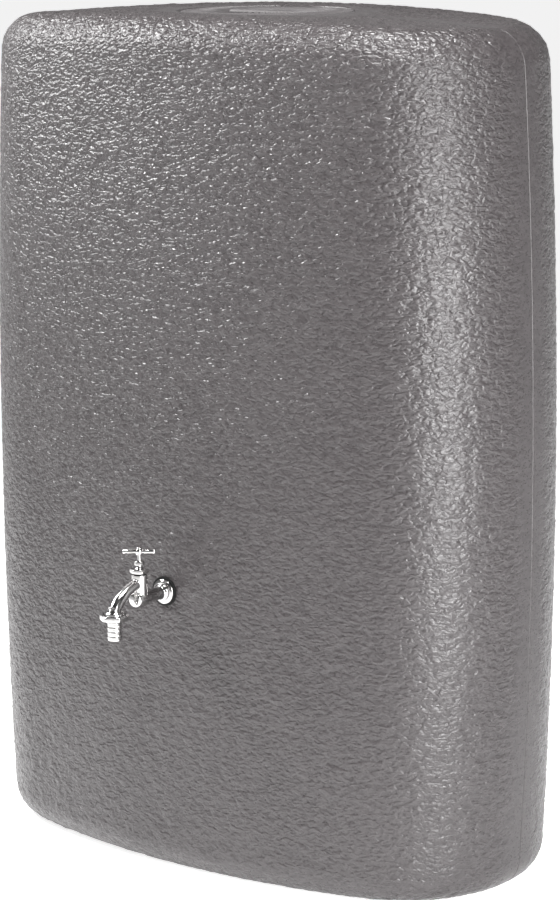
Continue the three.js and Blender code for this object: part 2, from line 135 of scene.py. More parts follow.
def roundedCorners(corners, closed, steps=4):
    # each corner is (radius, height) or (radius, height, softness); soft ones become short curves
    points = []
    count = len(corners)
    for i, corner in enumerate(corners):
        here = np.array(corner[:2])
        soft = corner[2] if len(corner) > 2 else 0
        if soft == 0 or (not closed and i in (0, count - 1)):
            points.append(here)
            continue
        before = np.array(corners[i - 1][:2]) - here
        after = np.array(corners[(i + 1) % count][:2]) - here
        start = here + before * min(cornerShare, soft / np.linalg.norm(before))
        end = here + after * min(cornerShare, soft / np.linalg.norm(after))
        for t in np.linspace(0, 1, steps + 1):
            points.append((1 - t) ** 2 * start + 2 * t * (1 - t) * here + t * t * end)
    return points


def turned(name, corners, closed=False, columns=72, steps=4):
    # a profile spun about +Z; an open one starts and ends on the axis
    points = roundedCorners(corners, closed, steps)
    turn = np.arange(columns) / columns * 2 * math.pi
    vertices = []
    for radius, height in points:
        vertices += [(radius * math.cos(a), radius * math.sin(a), height) for a in turn]
    faces = []
    levels = len(points)
    for level in range(levels if closed else levels - 1):
        low = level * columns
        high = (level + 1) % levels * columns
        for i in range(columns):
            j = (i + 1) % columns
            faces.append((low + i, low + j, high + j, high + i))
    return softEdges(pointOutwards(meshObject(name, vertices, faces)))


def place(item, origin, axis="up"):
    # stands the piece's own +Z along up, front (-Y) or left (-X), and moves it there
    turns = {
        "up": Matrix.Identity(4),
        "front": Matrix.Rotation(math.pi / 2, 4, "X"),
        "left": Matrix.Rotation(-math.pi / 2, 4, "Y"),
    }
    item.data.transform(Matrix.Translation(origin) @ turns[axis])
    return item


def inMm(corners, lift=0.0):
    # profile corners given in millimetres, raised by lift
    return [(c[0] * mm, lift + c[1] * mm, *[soft * mm for soft in c[2:]]) for c in corners]


def cylinder(name, radius, low, high, columns=72):
    return turned(name, [(0, low), (radius, low), (radius, high), (0, high)], columns=columns)


def flatRing(name, inner, outer, low, high, soft, columns=72):
    # a washer; soft holds the rounding at its four corners, from the inner foot outwards and up
    corners = zip((inner, outer, outer, inner), (low, low, high, high), soft)
    return turned(name, list(corners), closed=True, columns=columns)


def drill(item, radius, low, high, origin=None, axis="up", columns=72):
    cutter = cylinder("bore", radius, low, high, columns)
    if origin:
        place(cutter, origin, axis)
    return combine(item, cutter, "DIFFERENCE")


hexShape = {
    "flatShare": 0.96,          # the cone starts at this share of the flats
    "coneAngle": 30,
    "edgeBevel": 0.22 * mm,
    "bevelAngle": 20,
    "shadeAngle": 45,
}


def hexNut(name, flats, low, high, bore, soft=0.3 * mm, columns=96):
    # hexagon bar with a cone broken over both faces and a round hole; a corner points to the front
    turn = np.arange(columns) / columns * 2 * math.pi
    fromFlat = (turn + math.pi / 6) % (math.pi / 3) - math.pi / 6
    edge = flats / 2 / np.cos(fromFlat)
    flat = hexShape["flatShare"] * flats / 2
    drop = (edge - flat) * math.tan(math.radians(hexShape["coneAngle"]))
    rings = [
        (bore, low + soft), (bore + soft, low), (flat, low), (edge, low + drop),
        (edge, high - drop), (flat, high), (bore + soft, high), (bore, high - soft),
    ]
    vertices = []
    for radius, height in rings:
        radius = np.broadcast_to(radius, columns)
        height = np.broadcast_to(height, columns)
        vertices += list(zip(radius * np.cos(turn), radius * np.sin(turn), height))
    faces = []
    for level in range(len(rings)):
        first = level * columns
        second = (level + 1) % len(rings) * columns
        for i in range(columns):
            j = (i + 1) % columns
            faces.append((first + i, first + j, second + j, second + i))
    item = softEdges(pointOutwards(meshObject(name, vertices, faces)), hexShape["bevelAngle"])
    bevelEdges(item, hexShape["edgeBevel"], 2, hexShape["bevelAngle"])
    return softEdges(item, hexShape["shadeAngle"])


def block(length, width, low, high):
    # corners and faces of an upright box centred on the axis
    x, y = length / 2, width / 2
    vertices = [(sx * x, sy * y, z) for z in (low, high) for sx, sy in ((-1, -1), (1, -1), (1, 1), (-1, 1))]
    faces = [(3, 2, 1, 0), (4, 5, 6, 7), (0, 1, 5, 4), (1, 2, 6, 5), (2, 3, 7, 6), (3, 0, 4, 7)]
    return vertices, faces


class NodeSheet:
    # a node tree with short calls to add and wire nodes
    def __init__(self, tree):
        self.tree = tree

    def add(self, kind, inputs=None, **settings):
        node = self.tree.nodes.new(kind)
        for key, value in settings.items():
            setattr(node, key, value)
        for key, value in (inputs or {}).items():
            socket = node.inputs[key]
            if isinstance(value, bpy.types.NodeSocket):
                self.tree.links.new(value, socket)
            else:
                socket.default_value = value
        return node

    def math(self, operation, first, second=0.0):
        return self.add("ShaderNodeMath", {0: first, 1: second}, operation=operation).outputs[0]

    def ramp(self, value, low, high, outLow=0.0, outHigh=1.0):
        node = self.add("ShaderNodeMapRange", {
            "Value": value, "From Min": low, "From Max": high, "To Min": outLow, "To Max": outHigh,
        })
        node.interpolation_type = "SMOOTHSTEP"
        return node.outputs["Result"]

    def noise(self, place, scale, detail=2.0, roughness=0.5, distortion=0.0):
        return self.add("ShaderNodeTexNoise", {
            "Vector": place, "Scale": scale, "Detail": detail, "Roughness": roughness,
            "Distortion": distortion,
        }).outputs["Fac"]

    def bump(self, height, strength, distance, normal=None):
        inputs = {"Height": height, "Strength": strength, "Distance": distance}
        if normal is not None:
            inputs["Normal"] = normal
        return self.add("ShaderNodeBump", inputs).outputs["Normal"]

    def blend(self, factor, first, second):
        node = self.add("ShaderNodeMix", data_type="RGBA")
        node.inputs["A"].default_value = (*first, 1)
        node.inputs["B"].default_value = (*second, 1)
        self.tree.links.new(factor, node.inputs["Factor"])
        return node.outputs["Result"]

    def objectPlace(self):
        return self.add("ShaderNodeTexCoord").outputs["Object"]

    def feed(self, shader, **values):
        # wires the named sockets of a shader, such as Roughness
        for label, value in values.items():
            self.tree.links.new(value, shader.inputs[label.replace("_", " ")])


def newTree(name, inputs):
    # a geometry tree that takes a mesh, the inputs named here and the finish
    tree = bpy.data.node_groups.new(name, "GeometryNodeTree")
    for label, kind in {"Geometry": "Geometry", **inputs, "Finish": "Material"}.items():
        tree.interface.new_socket(label, in_out="INPUT", socket_type="NodeSocket" + kind)
    tree.interface.new_socket("Geometry", in_out="OUTPUT", socket_type="NodeSocketGeometry")
    sheet = NodeSheet(tree)
    return sheet, sheet.add("NodeGroupInput").outputs


def endTree(sheet, geometry, finishInput):
    real = sheet.add("GeometryNodeRealizeInstances", {"Geometry": geometry}).outputs[0]
    dressed = sheet.add("GeometryNodeSetMaterial", {"Geometry": real, "Material": finishInput}).outputs[0]
    sheet.add("NodeGroupOutput", {"Geometry": dressed})
    return sheet.tree


def growWith(item, tree, values):
    # runs a geometry tree on the piece; each input is set by the identifier behind its label
    modifier = item.modifiers.new(tree.name, "NODES")
    modifier.node_group = tree
    identifiers = {}
    for socket in tree.interface.items_tree:
        if socket.item_type == "SOCKET" and socket.in_out == "INPUT":
            identifiers[socket.name] = socket.identifier
    for label, value in values.items():
        modifier[identifiers[label]] = value
    return settle(item)


def newMaterial(name, baseColor, roughness, metallic=0.0):
    material = bpy.data.materials.new(name)
    material.use_nodes = True
    sheet = NodeSheet(material.node_tree)
    shader = material.node_tree.nodes["Principled BSDF"]
    shader.inputs["Base Color"].default_value = (*baseColor, 1)
    shader.inputs["Roughness"].default_value = roughness
    shader.inputs["Metallic"].default_value = metallic
    return material, sheet, shader


def finish(item, material, body, slotName, *nodes):
    # dresses a piece, hangs it on its body and hides the CAD nodes it stands in for
    item.data.materials.clear()
    item.data.materials.append(material)
    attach(item, body)
    if nodes:
        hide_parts(*nodes)
    return item


cameraSetup = {
    "place": (2.3674, -3.0692, 1.2796),
    "azimuth": 37.447,
    "elevation": 11.229,
    "roll": -0.289,
    "lens": 123.4,
    "sensor": 36,
    "nearest": 0.05,
}


def makeCamera():
    data = bpy.data.cameras.new("camera")
    data.lens = cameraSetup["lens"]
    data.sensor_width = cameraSetup["sensor"]
    data.clip_start = cameraSetup["nearest"]
    camera = bpy.data.objects.new("camera", data)
    sceneItems.link(camera)
    azimuth = math.radians(cameraSetup["azimuth"])
    elevation = math.radians(cameraSetup["elevation"])
    back = Vector((
        math.sin(azimuth) * math.cos(elevation),
        -math.cos(azimuth) * math.cos(elevation),
        math.sin(elevation),
    ))
    right = Vector((math.cos(azimuth), math.sin(azimuth), 0))
    turn = Matrix((right, back.cross(right), back)).transposed().to_4x4()
    roll = Matrix.Rotation(math.radians(cameraSetup["roll"]), 4, "Z")
    camera.matrix_world = Matrix.Translation(cameraSetup["place"]) @ turn @ roll
    bpy.context.scene.camera = camera


stoneLook = {
    # the dark tone is painted shade in the wrinkles' hollows, mixed with a real tone cloud; the light tone
    # sits on the ridges
    "dark": (0.035, 0.031, 0.032),
    "light": (0.051, 0.046, 0.047),
    "roughness": (0.26, 0.40),
    "specular": 0.4,
    "wrinkles": (150.0, 1.0, 0.45, 0.5),    # per metre, detail, roughness and distortion
    "grain": (300.0, 1.0, 0.5, 0.3),
    "grainShare": 0.3,
    "wrinkleDepth": 3.6 * mm,
    "stretch": (0.8, 0.8, 1.35),
    "lean": (0.0, 0.35, 0.0),
    "depthShare": (0.55, 1.5),              # of the wrinkle depth, low on the right and high on the left
    "depthRange": (0.1, 1.35),              # height less the distance to the right, in metres
    "skin": (900.0, 2.0),
    "skinStrength": 0.15,
    "skinDepth": 0.4 * mm,
    "clouds": (5.0, 3.0),
    "cloudShare": 0.2,
    "toneRange": (0.36, 0.62),
    "glossRange": (0.3, 0.7),
}


def tankMaterial():
    look = stoneLook
    material, sheet, shader = newMaterial("tankStone", look["dark"], look["roughness"][1])
    shader.inputs["Specular IOR Level"].default_value = look["specular"]
    place = sheet.objectPlace()
    mask = sheet.add("ShaderNodeAttribute", attribute_name="relief").outputs["Fac"]
    stretched = sheet.add("ShaderNodeMapping", {
        "Vector": place, "Scale": look["stretch"], "Rotation": look["lean"],
    }).outputs[0]
    wrinkle = sheet.noise(stretched, *look["wrinkles"])
    grain = sheet.noise(stretched, *look["grain"])
    height = sheet.math("ADD", wrinkle, sheet.math("MULTIPLY", grain, look["grainShare"]))
    # the wrinkles are deepest high on the left and shallowest low on the right
    parts = sheet.add("ShaderNodeSeparateXYZ", {0: place}).outputs
    upLeft = sheet.math("SUBTRACT", parts[2], parts[0])
    share = sheet.ramp(upLeft, *look["depthRange"], *look["depthShare"])
    masked = sheet.math("MULTIPLY", sheet.math("MULTIPLY", height, mask), share)
    coarse = sheet.bump(masked, 1.0, look["wrinkleDepth"])
    skin = sheet.noise(place, *look["skin"])
    fine = sheet.bump(skin, look["skinStrength"], look["skinDepth"], coarse)
    # painted shade: the base colour darkens in the hollows of the wrinkles, where shade falls, and a faint
    # cloud of real tone lies over both
    cloud = sheet.math("MULTIPLY", sheet.noise(place, *look["clouds"]), look["cloudShare"])
    hollowShadeShare = (1 - look["cloudShare"]) / (1 + look["grainShare"])
    cloudAndHollowShade = sheet.math("ADD", cloud, sheet.math("MULTIPLY", height, hollowShadeShare))
    tone = sheet.blend(sheet.ramp(cloudAndHollowShade, *look["toneRange"]), look["dark"], look["light"])
    gloss = sheet.ramp(grain, *look["glossRange"], *look["roughness"])
    sheet.feed(shader, Normal=fine, Base_Color=tone, Roughness=gloss)
    return material


tankShape = {
    "cornerRadius": 175 * mm,
    "topRadius": 43 * mm,
    "baseRadius": 38 * mm,
    "crown": 16 * mm,
    "endLean": 20 * mm,
    "widestHeight": 508 * mm,
    "faceSwell": 0.45 * mm,     # before its relief the skin stands this far outside the CAD tank's faces
    "wall": 5 * mm,
    "wellRadius": 112 * mm,
    "wellDepth": 26 * mm,
    "wellLip": 3 * mm,
    "wellStraight": 9 * mm,     # depth at which the side of the well runs straight
    "wellSoft": 1.5 * mm,
    "neckRadius": 90 * mm,
    "collarWall": 6 * mm,
    "collarHeight": 14 * mm,
    "meshStep": 3.8 * mm,
    "seamSteps": (0, 0.5 * mm, 1.1 * mm, 1.9 * mm, 3.2 * mm),
    "deckRings": 20,
    "deckFade": (0.7, 0.95),    # the relief fades between these shares of the way to the well
    "lipSteps": 3,
    "innerArcSteps": 5,
    "innerWallSteps": 7,
    "innerDeckSteps": 4,
    "floorScales": (0.3, 0.6, 0.85),
    "grooveWidth": 2.2 * mm,
    "grooveDepth": 1.1 * mm,
    "seamRelief": 0.06,         # share of the relief left at the parting line
    "seamFlat": 6 * mm,
    "smoothEdge": 48 * mm,      # from here on the relief is full
    "baseFade": (0.5, 0.9),     # shares of the base radius between which the relief fades underneath
    "reliefHeight": 1.3 * mm,
    "lumpScale": 88.0,          # lumps per metre
    "seed": 3.0,
    "padRadius": 20 * mm,       # smooth seat moulded round the tap
    "tapHole": 11 * mm,
    "tapCut": (-30 * mm, 30 * mm),
    "inletHole": 13.7 * mm,
    "inletCut": (-50 * mm, 30 * mm),
    "bossRadius": 27 * mm,
    "bossDepth": 12 * mm,
    "bossSoft": (0, 0, 2.2 * mm, 0.8 * mm),
}
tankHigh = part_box("tank_shell")[1]
halfWidth = tankHigh.x
halfDepth = tankHigh.y + tankShape["faceSwell"]
tankTop = tankHigh.z
wellFloor = tankTop - tankShape["wellDepth"]


def halfOutline():
    # arc centres, radii and angles along one half of the plan, from the right end to the left
    corner = tankShape["cornerRadius"]
    endCentre = halfWidth - corner
    faceAngle = 2 * math.atan((halfDepth - corner) / endCentre)
    faceRadius = endCentre / math.sin(faceAngle) + corner
    faceCentre = faceRadius - halfDepth
    quarter = math.pi / 2
    endLength = corner * (quarter - faceAngle)
    faceLength = faceRadius * 2 * faceAngle
    total = 2 * endLength + faceLength
    edge = np.array(tankShape["seamSteps"])
    count = round((total - 2 * edge[-1]) / tankShape["meshStep"])
    middle = np.linspace(edge[-1], total - edge[-1], count + 1)
    along = np.concatenate([edge[:-1], middle, total - edge[:-1][::-1]])
    right = along <= endLength
    left = along > total - endLength
    angle = np.where(right, along / corner, quarter - faceAngle + (along - endLength) / faceRadius)
    angle = np.where(left, math.pi - (total - along) / corner, angle)
    centreX = np.where(right, endCentre, np.where(left, -endCentre, 0))
    centreY = np.where(right | left, 0, faceCentre)
    radius = np.where(right | left, corner, faceRadius)
    return along, total, angle, centreX, centreY, radius


def leanAt(height):
    away = (height - tankShape["widestHeight"]) / (tankTop - tankShape["widestHeight"])
    return 1 - tankShape["endLean"] * away * away / halfWidth


def tankRing(plan, height, drawIn, scale=1.0, circle=0.0, blend=0.0, dip=0.0):
    # one half ring on the front side: the plan drawn in, mixed towards a circle by blend
    along, total, angle, centreX, centreY, radius = plan
    reach = radius - drawIn - dip
    x = (centreX + reach * np.cos(angle)) * leanAt(height) * scale
    y = (centreY - reach * np.sin(angle)) * scale
    turn = math.pi * along / total
    x = x * (1 - blend) + circle * np.cos(turn) * blend
    y = y * (1 - blend) - circle * np.sin(turn) * blend
    y[0] = 0
    y[-1] = 0
    # the crown fades in above the rounded base
    rise = smoothStep(tankShape["baseRadius"], 3 * tankShape["baseRadius"], height)
    drop = tankShape["crown"] * (x / halfWidth) ** 2 * (height / tankTop) * rise
    return np.column_stack([x, y, height - drop])


def reliefMask(plan, height, drawIn):
    along, total = plan[0], plan[1]
    fromSeam = np.minimum(along, total - along)
    seam = tankShape["seamRelief"]
    mask = seam + (1 - seam) * smoothStep(tankShape["seamFlat"], tankShape["smoothEdge"], fromSeam)
    if height > tankTop / 2:
        return mask
    start, end = tankShape["baseFade"]
    soft = tankShape["baseRadius"]
    return mask * (1 - smoothStep(start * soft, end * soft, drawIn))


def tankProfile(plan):
    # closed run of half rings: base, side, deck, well, collar, neck, then back inside
    rings = []
    masks = []
    fromSeam = np.minimum(plan[0], plan[1] - plan[0])
    seamDip = tankShape["grooveDepth"] * (1 - smoothStep(0, tankShape["grooveWidth"] / 2, fromSeam))

    def add(height, drawIn, scale=1.0, circle=0.0, blend=0.0, outside=True, textured=False):
        rings.append(tankRing(plan, height, drawIn, scale, circle, blend, seamDip if outside else 0))
        masks.append(reliefMask(plan, height, drawIn) if textured else np.zeros(len(plan[0])))

    step = tankShape["meshStep"]
    base = tankShape["baseRadius"]
    top = tankShape["topRadius"]
    for scale in tankShape["floorScales"]:
        add(0, base, scale)
    turns = round(base * math.pi / 2 / step)
    for i in range(turns + 1):
        a = math.pi / 2 * i / turns
        add(base * (1 - math.cos(a)), base * (1 - math.sin(a)), textured=True)
    levels = round((tankTop - base - top) / step)
    for i in range(1, levels):
        add(base + (tankTop - base - top) * i / levels, 0, textured=True)
    turns = round(top * math.pi / 2 / step)
    for i in range(turns + 1):
        a = math.pi / 2 * i / turns
        add(tankTop - top * (1 - math.sin(a)), top * (1 - math.cos(a)), textured=True)
    well = tankShape["wellRadius"]
    lip = tankShape["wellLip"]
    deckRings = tankShape["deckRings"]
    for i in range(1, deckRings + 1):
        add(tankTop, top, circle=well + lip, blend=i / deckRings, textured=True)
        masks[-1] = masks[-1] * (1 - smoothStep(*tankShape["deckFade"], i / deckRings))
    lipSteps = tankShape["lipSteps"]
    for i in range(1, lipSteps + 1):
        a = math.pi / 2 * i / lipSteps
        add(tankTop - lip * (1 - math.cos(a)), top, circle=well + lip * (1 - math.sin(a)), blend=1)
    for height, radius in wellSection():
        add(height, top, circle=radius, blend=1, outside=False)
    wall = tankShape["wall"]
    under = tankTop - wall
    deckSteps = tankShape["innerDeckSteps"]
    for i in range(1, deckSteps + 1):
        add(under, top, circle=well + wall, blend=1 - i / deckSteps, outside=False)
    arcSteps = tankShape["innerArcSteps"]
    for i in range(1, arcSteps + 1):
        a = math.pi / 2 * (1 - i / arcSteps)
        height = under - (top - wall) * (1 - math.sin(a))
        add(height, wall + (top - wall) * (1 - math.cos(a)), outside=False)
    wallSteps = tankShape["innerWallSteps"]
    for i in range(1, wallSteps):
        add(tankTop - top + (base - tankTop + top) * i / wallSteps, wall, outside=False)
    for i in range(arcSteps + 1):
        a = math.pi / 2 * (1 - i / arcSteps)
        height = wall + (base - wall) * (1 - math.cos(a))
        add(height, wall + (base - wall) * (1 - math.sin(a)), outside=False)
    for scale in tankShape["floorScales"][1::-1]:
        add(wall, base, scale, outside=False)
    return rings, masks


def wellSection():
    # heights and radii down the well, over the collar, through the neck and back under
    well = tankShape["wellRadius"]
    wall = tankShape["wall"]
    neck = tankShape["neckRadius"]
    collar = neck + tankShape["collarWall"]
    collarTop = wellFloor + tankShape["collarHeight"]
    soft = tankShape["wellSoft"]
    cut = 0.4 * soft            # the collar's outer edge is rounded in two steps
    return [
        (tankTop - tankShape["wellStraight"], well), (wellFloor + soft, well), (wellFloor, well - soft),
        (wellFloor, collar + soft), (wellFloor + soft, collar), (collarTop - soft, collar),
        (collarTop - cut, collar - cut), (collarTop, collar - soft),
        (collarTop, neck + soft), (collarTop - soft, neck), (wellFloor - wall, neck),
        (wellFloor - wall, well + wall), (tankTop - wall - tankShape["wellLip"], well + wall),
    ]


def tankHalf(name, front):
    plan = halfOutline()
    rings, masks = tankProfile(plan)
    columns = len(plan[0])
    last = len(rings) - 1
    vertices = np.concatenate(rings + [[[0, 0, 0], [0, 0, tankShape["wall"]]]])
    mask = np.concatenate(masks + [[0, 0]])
    lowPole = len(vertices) - 2
    highPole = len(vertices) - 1
    low = np.arange(last)[:, None] * columns + np.arange(columns - 1)[None, :]
    quads = np.stack([low, low + columns, low + columns + 1, low + 1], axis=-1).reshape(-1, 4)
    faces = quads.tolist()
    faces += [[lowPole, i, i + 1] for i in range(columns - 1)]
    start = last * columns
    faces += [[highPole, start + i + 1, start + i] for i in range(columns - 1)]
    rightSide = [i * columns for i in range(last + 1)]
    leftSide = [i * columns + columns - 1 for i in range(last + 1)]
    faces.append([lowPole, highPole] + rightSide[::-1])
    faces.append([highPole, lowPole] + leftSide)
    if not front:
        vertices[:, 1] *= -1
        faces = [face[::-1] for face in faces]
    item = meshObject(name, vertices, faces)
    seamFaces = len(faces) - 2
    for index in (seamFaces, seamFaces + 1):
        item.data.polygons[index].use_smooth = False
    relief = item.data.attributes.new("relief", "FLOAT", "POINT")
    relief.data.foreach_set("value", mask.astype(np.float32))
    return item


lumpLook = {
    "stretch": (1.0, 1.0, 1.5),
    "detail": 2.0,
    "roughness": 0.55,
    "distortion": 0.8,
    "level": 0.42,              # noise value at which the skin stays where it is
    "gain": 3.3,
    "padFade": 4 * mm,
}


def reliefTree():
    # pushes the skin along its normal by layered noise, scaled by the piece's relief attribute
    look = lumpLook
    sheet, given = newTree("stoneRelief", {
        "Relief Height": "Float", "Lump Scale": "Float", "Seed": "Float", "Pad Centre": "Vector",
        "Pad Radius": "Float",
    })
    place = sheet.add("GeometryNodeInputPosition").outputs[0]
    normal = sheet.add("GeometryNodeInputNormal").outputs[0]
    mask = sheet.add("GeometryNodeInputNamedAttribute", {"Name": "relief"}, data_type="FLOAT").outputs[0]
    flat = sheet.add("ShaderNodeVectorMath", {
        0: place, 1: look["stretch"],
    }, operation="MULTIPLY").outputs[0]
    lumps = sheet.add("ShaderNodeTexNoise", {
        "Vector": flat, "W": given["Seed"], "Scale": given["Lump Scale"],
        "Detail": look["detail"], "Roughness": look["roughness"], "Distortion": look["distortion"],
    }, noise_dimensions="4D").outputs["Fac"]
    raised = sheet.math("MULTIPLY", sheet.math("SUBTRACT", lumps, look["level"]), given["Relief Height"])
    toPad = sheet.add("ShaderNodeVectorMath", {0: place, 1: given["Pad Centre"]}, operation="DISTANCE")
    beyond = sheet.math("SUBTRACT", toPad.outputs["Value"], given["Pad Radius"])
    share = sheet.math("MULTIPLY", mask, sheet.ramp(beyond, 0.0, look["padFade"]))
    amount = sheet.math("MULTIPLY", sheet.math("MULTIPLY", raised, look["gain"]), share)
    offset = sheet.add("ShaderNodeVectorMath", {0: normal, "Scale": amount}, operation="SCALE").outputs[0]
    moved = sheet.add("GeometryNodeSetPosition", {"Geometry": given["Geometry"], "Offset": offset})
    return endTree(sheet, moved.outputs[0], given["Finish"])


def makeTank():
    stone = tankMaterial()
    tree = reliefTree()
    shape = tankShape
    for name, front in (("tank_front_half", True), ("tank_rear_half", False)):
        item = tankHalf(name, front)
        growWith(item, tree, {
            "Relief Height": shape["reliefHeight"],
            "Lump Scale": shape["lumpScale"],
            "Seed": shape["seed"],
            "Pad Centre": tapOrigin,
            "Pad Radius": shape["padRadius"],
            "Finish": stone,
        })
        if front:
            drill(item, shape["tapHole"], *shape["tapCut"], tapOrigin, "front")
        drill(item, shape["inletHole"], *shape["inletCut"], inletOrigin, "left")
        finish(item, stone, "tank", "tank", "tank_shell")
        print("tank half", name, len(item.data.polygons), "faces")
    boss = flatRing("tank_inlet_boss", shape["inletHole"], shape["bossRadius"], -shape["bossDepth"], 0,
                    shape["bossSoft"])
    place(boss, inletOrigin, "left")
    finish(boss, stone, "tank", "tank", "tank_shell")


rubberLook = {
    "plain": (0.006, 0.006, 0.006),
    "plainRoughness": 0.62,
    "metallic": 0.0,
    "specular": 0.12,
    "tones": ((0.006, 0.006, 0.006), (0.011, 0.011, 0.011)),
    "toneRange": (0.45, 0.7),
    "roughness": (0.52, 0.72),
    "roughnessRange": (0.3, 0.7),
    "mottle": (420.0, 3.0, 0.6),
    "grain": (2200.0,),
    "grainStrength": 0.3,
    "grainDepth": 0.08 * mm,
}
# plated casting: a little waviness left from polishing, and faint water marks
chromeLook = {
    "plain": (0.50, 0.49, 0.49),
    "plainRoughness": 0.12,
    "metallic": 1.0,
    "specular": 0.5,
    "tones": ((0.50, 0.49, 0.49), (0.42, 0.41, 0.40)),
    "toneRange": (0.4, 0.7),
    "roughness": (0.12, 0.20),
    "roughnessRange": (0.42, 0.68),
    "mottle": (160.0, 4.0, 0.6, 0.6),
    "grain": (130.0, 1.0),
    "grainStrength": 0.25,
    "grainDepth": 0.25 * mm,
}
# turned brass: fine tool marks and a darker, dulled bloom
brassLook = {
    "plain": (0.60, 0.44, 0.19),
    "plainRoughness": 0.3,
    "metallic": 1.0,
    "specular": 0.5,
    "tones": ((0.64, 0.48, 0.22), (0.42, 0.29, 0.13)),
    "toneRange": (0.4, 0.7),
    "roughness": (0.24, 0.42),
    "roughnessRange": (0.35, 0.7),
    "mottle": (190.0, 3.0, 0.6),
    "grain": (1500.0, 1.0),
    "grainStrength": 0.2,
    "grainDepth": 0.05 * mm,
}
# mould grain on both plastics, slightly uneven in colour and shine
lidLook = {
    "plain": (0.044, 0.040, 0.041),
    "plainRoughness": 0.62,
    "metallic": 0.0,
    "specular": 0.5,
    "tones": ((0.044, 0.040, 0.041), (0.056, 0.051, 0.052)),
    "toneRange": (0.35, 0.65),
    "roughness": (0.56, 0.70),
    "roughnessRange": (0.3, 0.7),
    "shineFromGrain": True,
    "mottle": (14.0, 3.0),
    "grain": (1100.0, 2.0, 0.6),
    "grainStrength": 0.5,
    "grainDepth": 0.35 * mm,
}
fittingLook = {
    **lidLook,
    "plain": (0.014, 0.014, 0.015),
    "plainRoughness": 0.42,
    "tones": ((0.014, 0.014, 0.015), (0.022, 0.022, 0.023)),
    "roughness": (0.36, 0.50),
    "grain": (900.0, 2.0, 0.6),
}


def mottledMaterial(name, look):
    # two tones and two levels of shine follow one noise, and a second noise gives the surface its grain
    material, sheet, shader = newMaterial(name, look["plain"], look["plainRoughness"], look["metallic"])
    shader.inputs["Specular IOR Level"].default_value = look["specular"]
    place = sheet.objectPlace()
    mottle = sheet.noise(place, *look["mottle"])
    grain = sheet.noise(place, *look["grain"])
    tone = sheet.blend(sheet.ramp(mottle, *look["toneRange"]), *look["tones"])
    shineFrom = grain if look.get("shineFromGrain") else mottle
    shine = sheet.ramp(shineFrom, *look["roughnessRange"], *look["roughness"])
    bump = sheet.bump(grain, look["grainStrength"], look["grainDepth"])
    sheet.feed(shader, Base_Color=tone, Roughness=shine, Normal=bump)
    return material


lidShape = {
    "radius": 109 * mm,
    "sunk": 1.5 * mm,           # the rim sits this far under the deck
    "dishRadius": 56 * mm,
    "dishDepth": 11 * mm,
    "dishSlope": 6 * mm,
    "dishWall": 3.5 * mm,
    "skirtWall": 3 * mm,
    "underSoft": 3 * mm,        # rounding under the dish
    "seatSoft": mm,
    "skirtSoft": 0.6 * mm,
    # along the rim: distance in from the edge, height over the rim, softness
    "rimCurve": ((0, -0.4 * mm, 2.6 * mm), (9 * mm, 0.2 * mm, 4 * mm), (13 * mm, -0.9 * mm, 3 * mm)),
    "shoulder": 19 * mm,
    "shoulderDrop": 0.3 * mm,
    "shoulderSoft": 5 * mm,
    "dishEdgeSoft": 4 * mm,
    "dishFloorSoft": 5 * mm,
    "gripWidth": 16 * mm,
    "gripGap": 2 * mm,
    "gripSink": mm,
    "gripDrop": 0.6 * mm,
    "gripBevel": 3.2 * mm,
    "ridges": 60,
    "ridgeSize": (11 * mm, 1.4 * mm, 0.8 * mm),     # half the length, width and height
    "ridgeSink": 0.5 * mm,
    "ringSoft": (0.8 * mm, 0.8 * mm, 1.1 * mm, 1.1 * mm),
    "columns": 160,
    "curveSteps": 6,
    "ridgeDetail": 3,
}


def repeatTree():
    # copies one small ridge round the vertical axis
    sheet, given = newTree("repeatAround", {
        "Count": "Int", "Radius": "Float", "Height": "Float", "Ridge Size": "Vector",
    })
    ringCurve = sheet.add("GeometryNodeCurvePrimitiveCircle", {
        "Resolution": given["Count"], "Radius": given["Radius"],
    }).outputs["Curve"]
    points = sheet.add("GeometryNodeCurveToPoints", {"Curve": ringCurve, "Count": given["Count"]})
    points.mode = "EVALUATED"
    ridge = sheet.add("GeometryNodeMeshIcoSphere", {
        "Radius": 1.0, "Subdivisions": lidShape["ridgeDetail"],
    }).outputs["Mesh"]
    sized = sheet.add("GeometryNodeTransform", {"Geometry": ridge, "Scale": given["Ridge Size"]}).outputs[0]
    around = sheet.add("GeometryNodeInstanceOnPoints", {
        "Points": points.outputs["Points"], "Instance": sized, "Rotation": points.outputs["Rotation"],
    }).outputs[0]
    lifted = sheet.add("ShaderNodeCombineXYZ", {"Z": given["Height"]}).outputs[0]
    raised = sheet.add("GeometryNodeTransform", {"Geometry": around, "Translation": lifted}).outputs[0]
    both = sheet.add("GeometryNodeJoinGeometry")
    sheet.tree.links.new(given["Geometry"], both.inputs[0])
    sheet.tree.links.new(raised, both.inputs[0])
    return endTree(sheet, both.outputs[0], given["Finish"])


